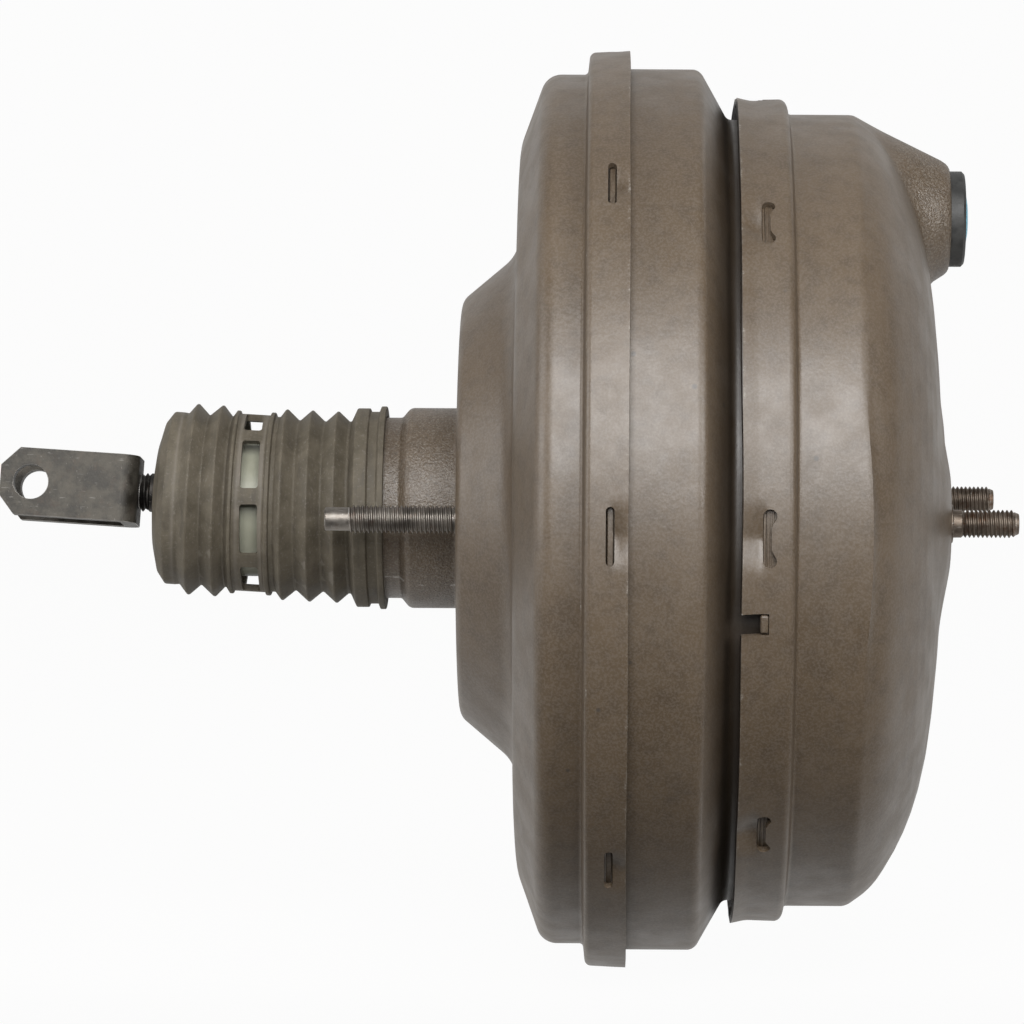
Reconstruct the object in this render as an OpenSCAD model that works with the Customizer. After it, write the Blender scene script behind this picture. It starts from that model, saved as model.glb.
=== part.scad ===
// Tandem vacuum brake booster, lying along X: clevis at -X, master cylinder at +X.
// The origin is on the axis, in the plane of the rear mounting face. Millimetres.

/* [Sheet metal] */
// Thickness of the housing sheet
sheet_t = 1.8; // [1.2:0.1:2.4]
// Thickness of the diaphragm plates and of the centre plate
plate_t = 1.6; // [1:0.1:2]
// Thickness of the stud reinforcement plates
stud_plate_t = 2.5; // [2:0.1:4]

/* [Rear shell] */
// Outer radius of the neck under the boot
neck_r = 26.6; // [25:0.1:28]
// Outer radius of the neck next to the mounting face
neck_root_r = 29.5; // [28.6:0.1:31]
// Length of the neck behind the mounting face
neck_len = 29.5; // [24:0.5:34]
// Outer radius of the flat mounting face
face_r = 61.2; // [57:0.2:65]
// Depth of the drum's rear wall in front of the mounting face
drum_x = 16.5; // [13:0.5:20]
// Outer radius of the rear clinch band
rear_band_r = 134; // [124:0.2:144]
// Step from the drum out to the rear clinch band
drum_step = 6.4; // [4:0.2:10]
// Place of the rear clinch band's step
rear_band_x = 36.9; // [34.5:0.2:40.5]
// Length of the rear clinch band
rear_band_len = 12; // [10:0.2:14]

/* [Mid housing] */
// Step from the mid housing out to the rear clinch band
mid_step = 4.7; // [3.6:0.1:7]
// Front edge of the mid housing's wide part
mid_shoulder_x = 69; // [65:0.5:72]
// Depth of the groove below the front clinch band
groove_depth = 5.8; // [4.6:0.1:7.6]
// Place where the groove reaches its bottom
groove_x = 77.2; // [75.5:0.1:78.5]
// Width of the key that stands in the front band's notch
key_w = 5.2; // [3:0.1:7]

/* [Front shell] */
// Outer radius of the front clinch band
front_band_r = 120.6; // [119.4:0.1:122]
// Free edge of the front clinch band
front_band_x = 79.7; // [78.5:0.1:80.9]
// Place of the front clinch band's step
front_step_x = 94.1; // [92.5:0.1:95.5]
// Step from the front shell out to the front clinch band
nose_step = 4.3; // [3.6:0.1:5.6]
// Where the dome starts
nose_x = 113.2; // [109:0.5:116.5]
// Plane of the dome's flat middle
dome_x = 139.7; // [136.5:0.2:144.5]
// Radius of the dome's flat middle
dome_flat_r = 40.7; // [40:0.1:48]
// Plane of the master cylinder's mounting pad
pad_x = 140.8; // [139.9:0.1:146.5]
// Radius of the hole for the master cylinder's spigot
spigot_hole_r = 20.5; // [16:0.1:22]

/* [Lanced tabs] */
// Tabs in each clinch band
lance_count = 8; // [4:1:12]
// Length of each tab round the band
lance_len = 16; // [10:0.5:20]
// Width of the slot beside each tab
slot_w = 2.4; // [1.6:0.1:3]
// How far each tab is pressed in
lance_depth = 2.4; // [1.8:0.1:3]

/* [Vacuum port] */
// Distance of the port's centre from the front shell's edge
port_inset = 30.3; // [30.3:0.1:34]
// Plane of the port boss's face
port_x = 142.5; // [140.5:0.5:146.5]
// Radius of the port boss at its face
port_face_r = 16; // [15:0.5:18]
// Radius of the port boss at its root
port_root_r = 30.2; // [28:0.2:30.2]
// Radius of the grommet's flange
grommet_r = 14; // [13:0.5:15]
// Radius of the grommet's bore
grommet_bore_r = 9.25; // [8:0.05:9.5]

/* [Studs] */
// Radius of every stud (M8)
stud_r = 4; // [3:0.5:5]
// Pitch circle of the two bulkhead studs
bulkhead_pcd = 88; // [86:1:92]
// Length of the bulkhead studs behind the mounting face
bulkhead_stud_len = 37.8; // [31:0.5:46]
// Pitch circle of the two master cylinder studs
cylinder_pcd = 96; // [90:1:104]
// Length of the master cylinder studs in front of the pad
cylinder_stud_len = 19.5; // [16:0.5:26]
// Radius of the studs' heads
stud_head_r = 7; // [6:0.5:8]
// Thickness of the studs' heads
stud_head_t = 2.4; // [2:0.1:3]

/* [Valve body] */
// Outer radius of the valve body's rear tube
tube_r = 20.4; // [19.6:0.1:21]
// Rear end of the valve body
tube_rear_x = -73.5; // [-77:0.5:-70]
// Outer radius of the valve body's front tube
front_tube_r = 19; // [18:0.1:20]
// Radius of the valve body's rear bore
tube_bore_r = 17.6; // [17:0.1:18]
// Radial clearance of every sliding fit
slide_fit = 0.08; // [0.04:0.01:0.1]

/* [Power piston] */
// Distance from the rear diaphragm plate's edge to the mid housing's surface
rear_plate_gap = 21.3; // [20.8:0.1:25]
// Distance from the front diaphragm plate's edge to the front shell's surface
front_plate_gap = 19.3; // [18.3:0.1:24]
// Rear face of the front diaphragm plate
front_plate_x = 86.8; // [86.5:0.1:88.5]
// Thickness of the diaphragms
rubber_t = 1.5; // [1:0.1:1.6]

/* [Input rod] */
// Centre of the rod's ball
ball_x = -25.5; // [-27.5:0.5:-23.5]
// Radius of the rod's ball
ball_r = 6; // [5.5:0.1:6.5]
// Radius of the rod outside the valve body
rod_r = 5.7; // [5:0.1:6]
// Tilt of the rod at rest, rear end up
rod_tilt = 3.5; // [0:0.5:4]
// Travel of the plunger in the valve body
plunger_travel = 1.5; // [1:0.1:2]

/* [Clevis] */
// Roll of the clevis about the rod
clevis_roll = -9; // [-20:1:20]
// Thickness of the clevis strip
clevis_t = 4.5; // [3.5:0.1:5]
// Width of the clevis across its ears
clevis_w = 24; // [22:0.5:28]
// Height of the clevis strip
clevis_h = 19.8; // [17:0.2:24]
// Distance from the ball to the clevis's web face
clevis_reach = 69.6; // [68:0.2:74]
// Length of the clevis
clevis_len = 40.2; // [36:0.2:46]
// Distance from the clevis's rear end to its pin hole
pin_back = 9.2; // [8:0.2:12]
// Radius of the clevis's pin hole
pin_hole_r = 5.1; // [4:0.1:6]

/* [Boot] */
// Wall of the boot
boot_wall = 2; // [1.4:0.1:2.2]
// Outer radius of the boot's crests
crest_r = 28.3; // [27.6:0.1:29]
// Outer radius of the boot's valleys
valley_r = 24.9; // [24.4:0.1:26]
// Outer radius of the ring that holds the windows
window_ring_r = 26.1; // [25.4:0.1:27]
// Windows round the ring
window_count = 8; // [6:1:10]
// Lift of the boot's rear end, which follows the rod
boot_lift = 2.9; // [0:0.1:3.4]

/* [Hidden] */

// Colours
paint = [0.42, 0.38, 0.35];
bare_steel = [0.34, 0.32, 0.31];
zinc = [0.66, 0.66, 0.64];
black_rubber = [0.08, 0.08, 0.08];
nylon = [0.9, 0.9, 0.86];
felt = [0.75, 0.73, 0.68];
plug_blue = [0.35, 0.72, 0.85];

// Facets and small gaps
round_fn = 96;
fine_fn = 48;
hull_fn = 32;
arc_step = 9;
air = 0.3;
over = 1;

// Path functions: a path is a list of [x, r]; a corner adds a rounding radius
function unit(v) = v / norm(v);
function turned(v, a) = [v[0] * cos(a) - v[1] * sin(a), v[0] * sin(a) + v[1] * cos(a)];
function flat2(c) = [c[0], c[1]];

function corner_arc(a, b, c, radius) =
    let (
        u = unit(flat2(a) - flat2(b)),
        w = unit(flat2(c) - flat2(b)),
        half = acos(max(-1, min(1, u * w))) / 2,
        leg = min(norm(flat2(a) - flat2(b)), norm(flat2(c) - flat2(b))),
        fit = min(radius, leg * 0.8 * tan(half)),
        centre = flat2(b) + unit(u + w) * fit / sin(half),
        start = flat2(b) + u * fit / tan(half) - centre,
        turn = (180 - 2 * half) * (cross(u, w) > 0 ? -1 : 1),
        steps = max(2, ceil(abs(turn) / arc_step))
    )
    [for (k = [0:steps]) centre + turned(start, turn * k / steps)];

function rounded(corners) =
    let (last = len(corners) - 1)
    [for (i = [0:last])
        each (i == 0 || i == last || corners[i][2] == 0
            ? [flat2(corners[i])]
            : corner_arc(corners[i - 1], corners[i], corners[i + 1], corners[i][2]))];

// The path moved d to its left, with mitred corners
function beside(path, d) =
    let (last = len(path) - 1)
    [for (i = [0:last])
        let (
            a = unit(path[max(i, 1)] - path[max(i, 1) - 1]),
            b = unit(path[min(i, last - 1) + 1] - path[min(i, last - 1)]),
            na = [-a[1], a[0]],
            nb = [-b[1], b[0]]
        )
        path[i] + (na + nb) * d / (1 + na * nb)];

function backwards(path) = [for (i = [len(path) - 1:-1:0]) path[i]];

module revolve(points, fn = round_fn) {
    rotate([0, 90, 0])
        rotate_extrude($fn = fn)
            polygon([for (p = points) [p[1], p[0]]]);
}

// A sheet t thick on the right of its corners' path
module sheet(corners, t, fn = round_fn) {
    path = rounded(corners);
    revolve(concat(path, backwards(beside(path, -t))), fn);
}

module ring(x0, x1, r_in, r_out, fn = round_fn) {
    revolve([[x0, r_in], [x1, r_in], [x1, r_out], [x0, r_out]], fn);
}

module rod(x0, x1, r, fn = fine_fn) {
    translate([x0, 0, 0])
        rotate([0, 90, 0])
            cylinder(h = x1 - x0, r = r, $fn = fn);
}

module cone(x0, x1, r0, r1, fn = fine_fn) {
    translate([x0, 0, 0])
        rotate([0, 90, 0])
            cylinder(h = x1 - x0, r1 = r0, r2 = r1, $fn = fn);
}

module around(count, first = 0) {
    for (i = [0:count - 1])
        rotate([first + i * 360 / count, 0, 0])
            children();
}

// One copy at +Y and one at -Y
module pair(pcd) {
    for (side = [-1, 1])
        translate([0, side * pcd / 2, 0])
            children();
}

// Housing lines
drum_r = rear_band_r - drum_step;
mid_r = rear_band_r - mid_step;
groove_r = front_band_r - groove_depth;
nose_r = front_band_r - nose_step;
port_z = nose_r - port_inset;
rear_plate_r = mid_r - rear_plate_gap;
front_plate_r = nose_r - front_plate_gap;
face_turn = 50;
shoulder_r = face_r + drum_x / tan(face_turn);
drum_wall_x = drum_x + 0.65;
drum_corner_x = drum_wall_x + 7.5;
drum_corner_r = drum_r - 20.6;
rear_band_end = rear_band_x + rear_band_len;
rear_clamp_x = rear_band_x + 0.3 + sheet_t;
rear_bead_t = 1.9;
mid_flange_x = rear_clamp_x + rear_bead_t;
mid_flange_r = rear_band_r - sheet_t - 0.4;
mid_front_x = 88.1;
mid_front_r = front_band_r - sheet_t - 0.4;
front_clamp_x = front_step_x - sheet_t - 0.15;
neck_rear = -neck_len;
neck_step_x = -16.3;
neck_bore_r = neck_root_r - sheet_t;
neck_lip_r = tube_r + 2.2;
neck_flat_r = neck_root_r + 2;

rear_shell_corners = [
    [neck_rear, neck_lip_r, 0],
    [neck_rear, neck_r, sheet_t + 0.5],
    [neck_step_x - 1.2, neck_r, 1.2],
    [neck_step_x + 1.2, neck_root_r, sheet_t + 0.7],
    [0, neck_root_r, 2],
    [0, face_r, 5],
    [drum_x, shoulder_r, 11],
    [drum_wall_x, drum_corner_r, 15],
    [drum_corner_x, drum_r, 6],
    [rear_band_x - 0.4, drum_r, 1.2],
    [rear_band_x + 0.3, rear_band_r, sheet_t + 0.5],
    [rear_band_end, rear_band_r + 0.6, 0]
];

mid_corners = [
    [mid_flange_x + sheet_t, mid_flange_r, 0],
    [mid_flange_x + sheet_t, mid_r, 1.2],
    [mid_shoulder_x, mid_r, 3.6],
    [groove_x, groove_r, 2.4],
    [mid_front_x - sheet_t, groove_r, 1.2],
    [mid_front_x - sheet_t, mid_front_r, 0]
];

dome_share = (nose_r - dome_flat_r) / 75.6;

dome_corners = [
    [front_band_x, front_band_r + 0.7, 0],
    [front_band_x + 4.4, front_band_r - 0.1, 12],
    [front_step_x, front_band_r + 0.2, sheet_t + 0.5],
    [front_step_x + 0.8, nose_r, 1.2],
    [nose_x, nose_r, 5],
    [nose_x + 7.3, nose_r - 5.1 * dome_share, 23],
    [dome_x - 9.3, nose_r - 20.5 * dome_share, 75],
    [dome_x - 4.1, nose_r - 39.9 * dome_share, 105],
    [dome_x, dome_flat_r, 280],
    [dome_x, spigot_hole_r, sheet_t + 1.2],
    [dome_x - 9, spigot_hole_r, 0]
];

// A tab pressed in between its slot and the band's free edge, at -Y before it is turned round.
// edge_x is the free edge, slot_x the slot's middle, and r the band's outer radius.
module lance_cut(edge_x, slot_x, r) {
    span = lance_len / r * 180 / PI;
    toward = edge_x > slot_x ? 1 : -1;
    x0 = slot_x - toward * slot_w / 2;
    x1 = edge_x - toward * 1.6;
    rotate([0, 90, 0])
        rotate([0, 0, -90 - span / 2])
            rotate_extrude(angle = span, $fn = round_fn)
                translate([r - 4, min(x0, x1)])
                    square([6, abs(x1 - x0)]);
}

module lance_tab(edge_x, slot_x, r) {
    span = (lance_len + 0.4) / r * 180 / PI;
    toward = edge_x > slot_x ? 1 : -1;
    x0 = slot_x + toward * slot_w / 2;
    x1 = edge_x - toward * 1.2;
    points = [[r - lance_depth, x0], [r - 0.1, x1], [r - 0.1 - sheet_t, x1], [r - lance_depth - sheet_t, x0]];
    rotate([0, 90, 0])
        rotate([0, 0, -90 - span / 2])
            rotate_extrude(angle = span, $fn = round_fn)
                polygon(points);
}

rear_slot_x = rear_band_end - 4.9;
front_slot_x = front_band_x + 6.8;

module rear_shell() {
    color(paint)
        difference() {
            union() {
                difference() {
                    sheet(rear_shell_corners, sheet_t);
                    around(lance_count)
                        lance_cut(rear_band_end, rear_slot_x, rear_band_r);
                }
                around(lance_count)
                    lance_tab(rear_band_end, rear_slot_x, rear_band_r + 0.4);
            }
            pair(bulkhead_pcd)
                rod(-over, sheet_t + over, stud_r + air);
        }
}

key_turn = 11.3;
notch_len = 7.5;
key_len = 2.4;

// The key stands on the mid housing's front flange
module mid_housing() {
    color(paint) {
        sheet(mid_corners, sheet_t);
        rotate([key_turn, 0, 0])
            translate([front_band_x + notch_len - 0.1 - key_len, -front_band_r - 0.2, -key_w / 2])
                cube([key_len, front_band_r + 0.2 - groove_r + 1, key_w]);
    }
}

boss_edge = 3;
boss_rake = (port_root_r - port_face_r) / (port_x - nose_x);

module port_boss(inset) {
    edge = max(0.6, boss_edge - inset);
    translate([0, 0, port_z])
        revolve(
            concat(
                [[nose_x, 0]],
                rounded([
                    [nose_x, port_root_r - inset * 1.12, 0],
                    [port_x - inset, port_face_r - inset * 1.12 + inset * boss_rake, edge],
                    [port_x - inset, 0, 0]
                ])
            ),
            fine_fn
        );
}

pad_top_r = 9;
pad_mid_r = 25;
pad_root_r = 26;
pad_root_y = 40;
pad_root_x = dome_x - 2.8;

module pad_form(inset) {
    hull() {
        for (side = [-1, 1]) {
            translate([0, side * cylinder_pcd / 2, 0])
                rod(pad_x - 0.2 - inset, pad_x - inset, pad_top_r, hull_fn);
            translate([0, side * pad_root_y, 0])
                rod(pad_root_x - inset - 1, pad_root_x - inset, pad_root_r, hull_fn);
        }
        rod(pad_x - 0.2 - inset, pad_x - inset, pad_mid_r, 2 * hull_fn);
        rod(pad_root_x - inset - 1, pad_root_x - inset, pad_mid_r + 12, 2 * hull_fn);
    }
}

// The space under the dome, out to the sheet's inner surface
module dome_cavity() {
    path = rounded(dome_corners);
    inner = beside(path, -sheet_t);
    wanted = [for (p = inner) if (p[0] > nose_x - 10 && p[1] > spigot_hole_r + sheet_t + 3) p];
    revolve(concat([[wanted[0][0], 0]], wanted, [[wanted[len(wanted) - 1][0], 0]]));
}

notch_w = key_w + 0.8;

module front_shell() {
    color(paint)
        difference() {
            union() {
                difference() {
                    sheet(dome_corners, sheet_t);
                    around(lance_count)
                        lance_cut(front_band_x, front_slot_x, front_band_r);
                    rotate([key_turn, 0, 0])
                        translate([front_band_x - over, -front_band_r - 4, -notch_w / 2])
                            cube([notch_len + over, 8, notch_w]);
                }
                around(lance_count)
                    lance_tab(front_band_x, front_slot_x, front_band_r + 0.3);
                difference() {
                    union() {
                        port_boss(0);
                        pad_form(0);
                    }
                    dome_cavity();
                    rod(pad_root_x - 10, pad_x + over, spigot_hole_r, round_fn);
                }
            }
            port_boss(sheet_t);
            difference() {
                pad_form(sheet_t);
                rod(pad_root_x - 10, pad_x, spigot_hole_r + sheet_t, round_fn);
            }
            translate([0, 0, port_z])
                rod(port_x - 2 * sheet_t, port_x + over, port_hole_r);
            pair(cylinder_pcd)
                rod(pad_x - 3 * sheet_t, pad_x + over, stud_r + air);
        }
}

// The pan that parts the chambers: rim in the front clinch, hub round the front tube
pan_r = groove_r - sheet_t - air;
pan_x = 82.5;
hub_r = 26.5;
hub_front_x = 78.5;
hub_rear_x = 67.5;

module centre_plate() {
    color(paint)
        sheet([
            [mid_front_x, mid_front_r, 0],
            [mid_front_x, pan_r, plate_t + 0.6],
            [pan_x, pan_r, 3],
            [pan_x, 72, 8],
            [hub_front_x - plate_t, 62, 8],
            [hub_front_x - plate_t, hub_r + plate_t, 2],
            [hub_rear_x, hub_r + plate_t, plate_t + 0.6],
            [hub_rear_x, front_tube_r + 2, 0]
        ], -plate_t);
}

stud_plate_rear_x = sheet_t;

module rear_stud_plate() {
    color(zinc)
        difference() {
            ring(stud_plate_rear_x, stud_plate_rear_x + stud_plate_t, neck_flat_r + 0.3, face_r - 4);
            pair(bulkhead_pcd)
                rod(0, stud_plate_rear_x + stud_plate_t + over, stud_r + air);
        }
}

front_plate_back_x = dome_x - sheet_t - stud_plate_t - air;
plate_mid_r = 29;

module front_stud_plate() {
    seat = front_plate_back_x + stud_plate_t;
    color(zinc)
        difference() {
            hull() {
                pair(cylinder_pcd)
                    rod(front_plate_back_x, seat, stud_head_r + 1.2, hull_fn);
                rod(front_plate_back_x, seat, plate_mid_r, hull_fn);
            }
            rod(front_plate_back_x - over, pad_x, spigot_hole_r + sheet_t + 1.2 + air, round_fn);
            pair(cylinder_pcd)
                rod(front_plate_back_x - over, pad_x, stud_r + air);
        }
}

dog_len = 6.9;
dog_r = stud_r - 0.9;
dog_chamfer = 0.9;
shank_r = stud_r + 0.2;
shank_proud = 0.5;

module bulkhead_studs() {
    head_x = stud_plate_rear_x + stud_plate_t;
    color(bare_steel)
        pair(bulkhead_pcd) {
            rod(dog_len - bulkhead_stud_len, -shank_proud, stud_r);
            rod(-shank_proud, head_x, shank_r);
            cone(dog_len - bulkhead_stud_len - dog_chamfer, dog_len - bulkhead_stud_len, dog_r, stud_r);
            rod(0.4 - bulkhead_stud_len, dog_len - bulkhead_stud_len - dog_chamfer, dog_r);
            cone(-bulkhead_stud_len, 0.4 - bulkhead_stud_len, dog_r - 0.4, dog_r);
            rod(head_x, head_x + stud_head_t, stud_head_r);
        }
}

module cylinder_studs() {
    tip = pad_x + cylinder_stud_len;
    color(bare_steel)
        pair(cylinder_pcd) {
            rod(pad_x + shank_proud, tip - dog_chamfer, stud_r);
            rod(front_plate_back_x, pad_x + shank_proud, shank_r);
            cone(tip - dog_chamfer, tip, stud_r, stud_r - dog_chamfer);
            rod(front_plate_back_x - stud_head_t, front_plate_back_x, stud_head_r);
        }
}

// Bearing, seal and retainer in a pocket from x0 (deep end) to x1 (mouth)
module pocket_bearing(x0, r_in, r_out) {
    color(nylon)
        ring(x0, x0 + 4, r_in + slide_fit, r_out);
}

module lip_seal(x0, x1, r_in, r_out) {
    color(black_rubber)
        revolve([
            [x0, r_in + 1.6], [x0, r_out], [x1, r_out], [x1, r_out - 2.2], [x0 + 2.2, r_out - 2.2],
            [x0 + 2.2, r_in + 2.4], [x1 - 0.6, r_in + 1.4], [x1 - 0.6, r_in + slide_fit],
            [x1 - 1.6, r_in + slide_fit]
        ]);
}

module pocket_retainer(x0, x1, r_in, r_out) {
    color(zinc)
        ring(x0, x1, r_in + 0.9, r_out);
}

neck_pocket_x = neck_step_x + 1.2 + sheet_t;

module neck_bearing() pocket_bearing(neck_pocket_x, tube_r, neck_bore_r);
module neck_seal() lip_seal(neck_pocket_x + 4, -2.5, tube_r, neck_bore_r);
module neck_retainer() pocket_retainer(-2.5, -1, tube_r, neck_bore_r);

hub_pocket_x = hub_rear_x + plate_t + 0.8;

module centre_bearing() pocket_bearing(hub_pocket_x, front_tube_r, hub_r);
module centre_seal() lip_seal(hub_pocket_x + 4, hub_front_x - 2, front_tube_r, hub_r);
module centre_retainer() pocket_retainer(hub_front_x - 2, hub_front_x - 0.5, front_tube_r, hub_r);

port_hole_r = 11.2;
grommet_flange_t = 4.4;
grommet_barb_r = 12.6;

module vacuum_grommet() {
    face = port_x;
    back = port_x - sheet_t;
    color(black_rubber)
        translate([0, 0, port_z])
            revolve([
                [back - 4.5, grommet_bore_r], [face + grommet_flange_t, grommet_bore_r],
                [face + grommet_flange_t, grommet_r - 0.8], [face + grommet_flange_t - 0.8, grommet_r],
                [face, grommet_r], [face, port_hole_r], [back, port_hole_r],
                [back, grommet_barb_r], [back - 1.2, grommet_barb_r], [back - 4.5, grommet_bore_r + 1.2]
            ], fine_fn);
}

plug_r = grommet_bore_r - slide_fit;
plug_wall = 1.5;
plug_len = 11;

module port_plug() {
    face = port_x + grommet_flange_t;
    color(plug_blue)
        translate([0, 0, port_z])
            revolve([
                [face - plug_len, plug_r - plug_wall], [face - plug_wall, plug_r - plug_wall],
                [face - plug_wall + 0.7, 0], [face + 1.2, 0], [face + 1, plug_r * 0.55],
                [face + 0.4, plug_r - 0.7], [face - 0.4, plug_r], [face - plug_len + 0.8, plug_r],
                [face - plug_len, plug_r - 0.6]
            ], fine_fn);
}

// The tilt that the rod, the clevis and the pieces on them have at rest
module on_rod() {
    translate([ball_x, 0, 0])
        rotate([0, rod_tilt, 0])
            children();
}

// Boot: closed profiles swept round the axis, lifted and leaned more towards the rear
boot_fn = 40;
boot_front_x = -22.1;
boot_rear_x = -90.5;
boot_fixed_x = -32.5;
collar_r = 29.3;
window_x0 = -63.7;
window_x1 = -58.5;
window_bar = 10.6;
boot_hole_r = rod_r + air;
crest_step = 7.8;
bead_r = window_ring_r + 0.9;
cap_rim_r = 18;

// The rear end cap's middle follows the rod, its rim less so
function rod_z(x) = (ball_x - x) * tan(rod_tilt);
function boot_share(x) = max(0, min(1, (boot_fixed_x - x) / (boot_fixed_x - boot_rear_x)));
function hub_share(r) = max(0, min(1, (cap_rim_r - r) / (cap_rim_r - boot_hole_r)));
function boot_place(x, r, a) =
    let (
        s = boot_share(x),
        lean = rod_tilt * s,
        rim_lift = boot_lift * pow(s, 1.3),
        lift = rim_lift + hub_share(r) * (rod_z(x) - rim_lift),
        z = r * sin(a)
    )
    [x + z * sin(lean), r * cos(a), z * cos(lean) + lift];

// One torus of rubber from a closed [x, r] loop
module boot_sweep(loop) {
    n = len(loop);
    polyhedron(
        points = [for (k = [0:boot_fn - 1]) for (p = loop) boot_place(p[0], p[1], k * 360 / boot_fn)],
        faces = [for (k = [0:boot_fn - 1])
            for (i = [0:n - 1])
                let (k2 = (k + 1) % boot_fn, i2 = (i + 1) % n)
                each [[k * n + i, k2 * n + i2, k * n + i2], [k * n + i, k2 * n + i, k2 * n + i2]]]
    );
}

// Outer line of the front bellows, from the collar to the window ring
crests_front = [-36.6, -44.4, -52.2];
crests_rear = [-71.1, -78.7];

function bellows(crests, step) =
    [for (c = crests) each [[c + step / 2, valley_r], [c + 0.5, crest_r], [c - 0.5, crest_r]]];

front_outer = concat(
    [[boot_front_x, neck_r + air], [boot_front_x, collar_r + 0.6], [boot_front_x - 1.6, collar_r + 0.6],
     [boot_front_x - 2.2, collar_r - 1], [boot_front_x - 4.6, collar_r - 1],
     [boot_front_x - 5, collar_r], [boot_front_x - 8.6, collar_r]],
    bellows(crests_front, crest_step),
    [[-54, valley_r + 0.9], [-55.2, valley_r + 0.9], [-55.7, bead_r], [-56.7, bead_r],
     [-57.1, window_ring_r], [window_x1, window_ring_r]]
);
front_inner = concat(
    [[window_x1, window_ring_r - boot_wall], [-55, valley_r - boot_wall + 0.6]],
    [for (i = [len(crests_front) - 1:-1:0])
        each [[crests_front[i], crest_r - boot_wall],
              [crests_front[i] + crest_step / 2, valley_r - boot_wall]]],
    [[neck_rear - 0.6, valley_r - boot_wall], [neck_rear - 0.6, neck_r + air]]
);

rear_outer = concat(
    [[window_x0, window_ring_r], [window_x0 - 2.3, window_ring_r],
     [window_x0 - 2.6, bead_r], [window_x0 - 3.3, bead_r]],
    bellows(crests_rear, crest_step - 1.8),
    [[-81.7, valley_r + 0.3], [-85.9, valley_r + 0.6], [-88.1, valley_r - 2.6], [-89.7, 16],
     [boot_rear_x, boot_hole_r + 3], [boot_rear_x, boot_hole_r]]
);
rear_inner = concat(
    [[boot_rear_x + 2.4, boot_hole_r], [boot_rear_x + 2.6, 16], [-86.1, valley_r - 3.6],
     [-81.9, valley_r - boot_wall + 0.3]],
    [for (i = [len(crests_rear) - 1:-1:0])
        each [[crests_rear[i], crest_r - boot_wall],
              [crests_rear[i] + crest_step / 2 - 0.9, valley_r - boot_wall]]],
    [[window_x0, window_ring_r - boot_wall]]
);

window_first = -14;

module boot() {
    color(paint) {
        boot_sweep(concat(front_outer, front_inner));
        boot_sweep(concat(rear_outer, rear_inner));
        for (i = [0:window_count - 1])
            boot_bar(180 - window_first + (i + 0.5) * 360 / window_count);
    }
}

module boot_bar(a) {
    hull()
        for (x = [window_x0 - 1, window_x1 + 1])
            for (r = [window_ring_r - boot_wall + 0.1, window_ring_r - 0.1])
                for (side = [-0.5, 0.5])
                    translate(boot_place(x, r, a + side * window_bar))
                        cube(0.2, center = true);
}

// Diaphragm plates lie in front of their diaphragms
hub_flange_x = stud_plate_rear_x + stud_plate_t + air;
hub_flange_t = 3.2;
hub_flange_r = 30;
rear_plate_x = hub_flange_x + hub_flange_t + rubber_t + 2 * air;
plate_rim = 9;
rear_plate_drop = 13.2;

rear_plate_corners = [
    [rear_plate_x, front_tube_r + air, 0],
    [rear_plate_x, 54, 6],
    [rear_plate_x + rear_plate_drop, 74, 8],
    [rear_plate_x + rear_plate_drop, rear_plate_r, plate_t + 3],
    [rear_plate_x + rear_plate_drop + plate_rim, rear_plate_r, 0]
];

front_nose_r = 15.6;

front_plate_corners = [
    [front_plate_x, front_nose_r + 0.1, 0],
    [front_plate_x, front_plate_r, plate_t + 2],
    [front_plate_x + 5, front_plate_r, 0]
];

module rear_plate() {
    color(zinc)
        sheet(rear_plate_corners, plate_t);
}

module front_plate() {
    color(zinc)
        sheet(front_plate_corners, plate_t);
}

module rear_plate_ring() {
    color(zinc)
        ring(rear_plate_x + plate_t, rear_plate_x + plate_t + 1.6, front_tube_r, front_tube_r + 5);
}

module front_plate_ring() {
    color(zinc)
        ring(front_plate_x + plate_t, front_plate_x + plate_t + 1.6, front_nose_r, front_nose_r + 5);
}

// Diaphragms: a skin behind the plate, a rolling fold, a bead in the clinch.
// skin is the plate's path moved back and out by the gap; leg_r is the fold's outer leg.
bead_round = 1.6;

function fold_corners(skin_r, leg_r, bead_x, bead_r) =
    let (fold_r = (leg_r - skin_r) / 2 - 0.05, fold_x = bead_x + bead_round + fold_r + 1)
    [
        [fold_x, skin_r, fold_r],
        [fold_x, leg_r, fold_r],
        [bead_x, leg_r, bead_round],
        [bead_x, bead_r, 0]
    ];

module rear_diaphragm() {
    skin_x = rear_plate_x - air;
    color(black_rubber)
        sheet(
            concat(
                [
                    [skin_x, front_tube_r + 3.4, 0],
                    [skin_x, 54 + air, 6],
                    [skin_x + rear_plate_drop, 74 + air, 8],
                    [skin_x + rear_plate_drop, rear_plate_r + air, plate_t + 3 + air]
                ],
                fold_corners(rear_plate_r + air, mid_r - sheet_t - 1.2, mid_flange_x, mid_flange_r)
            ),
            -rubber_t
        );
}

module front_diaphragm() {
    skin_x = front_plate_x - air;
    color(black_rubber)
        sheet(
            concat(
                [
                    [skin_x, front_tube_r + 1.6, 0],
                    [skin_x, front_plate_r + air, plate_t + 2 + air]
                ],
                fold_corners(front_plate_r + air, nose_r - sheet_t - 1.2, front_clamp_x, mid_front_r)
            ),
            -rubber_t
        );
}

// Coil springs: a helix from x0 to x1, from r0 to r1, with closed ends
function coil_point(t, x0, x1, r0, r1, turns, dead) =
    let (
        a = 360 * turns * t,
        u = max(0, min(1, (t * turns - dead) / (turns - 2 * dead)))
    )
    [x0 + (x1 - x0) * u, (r0 + (r1 - r0) * u) * cos(a), (r0 + (r1 - r0) * u) * sin(a)];

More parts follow.
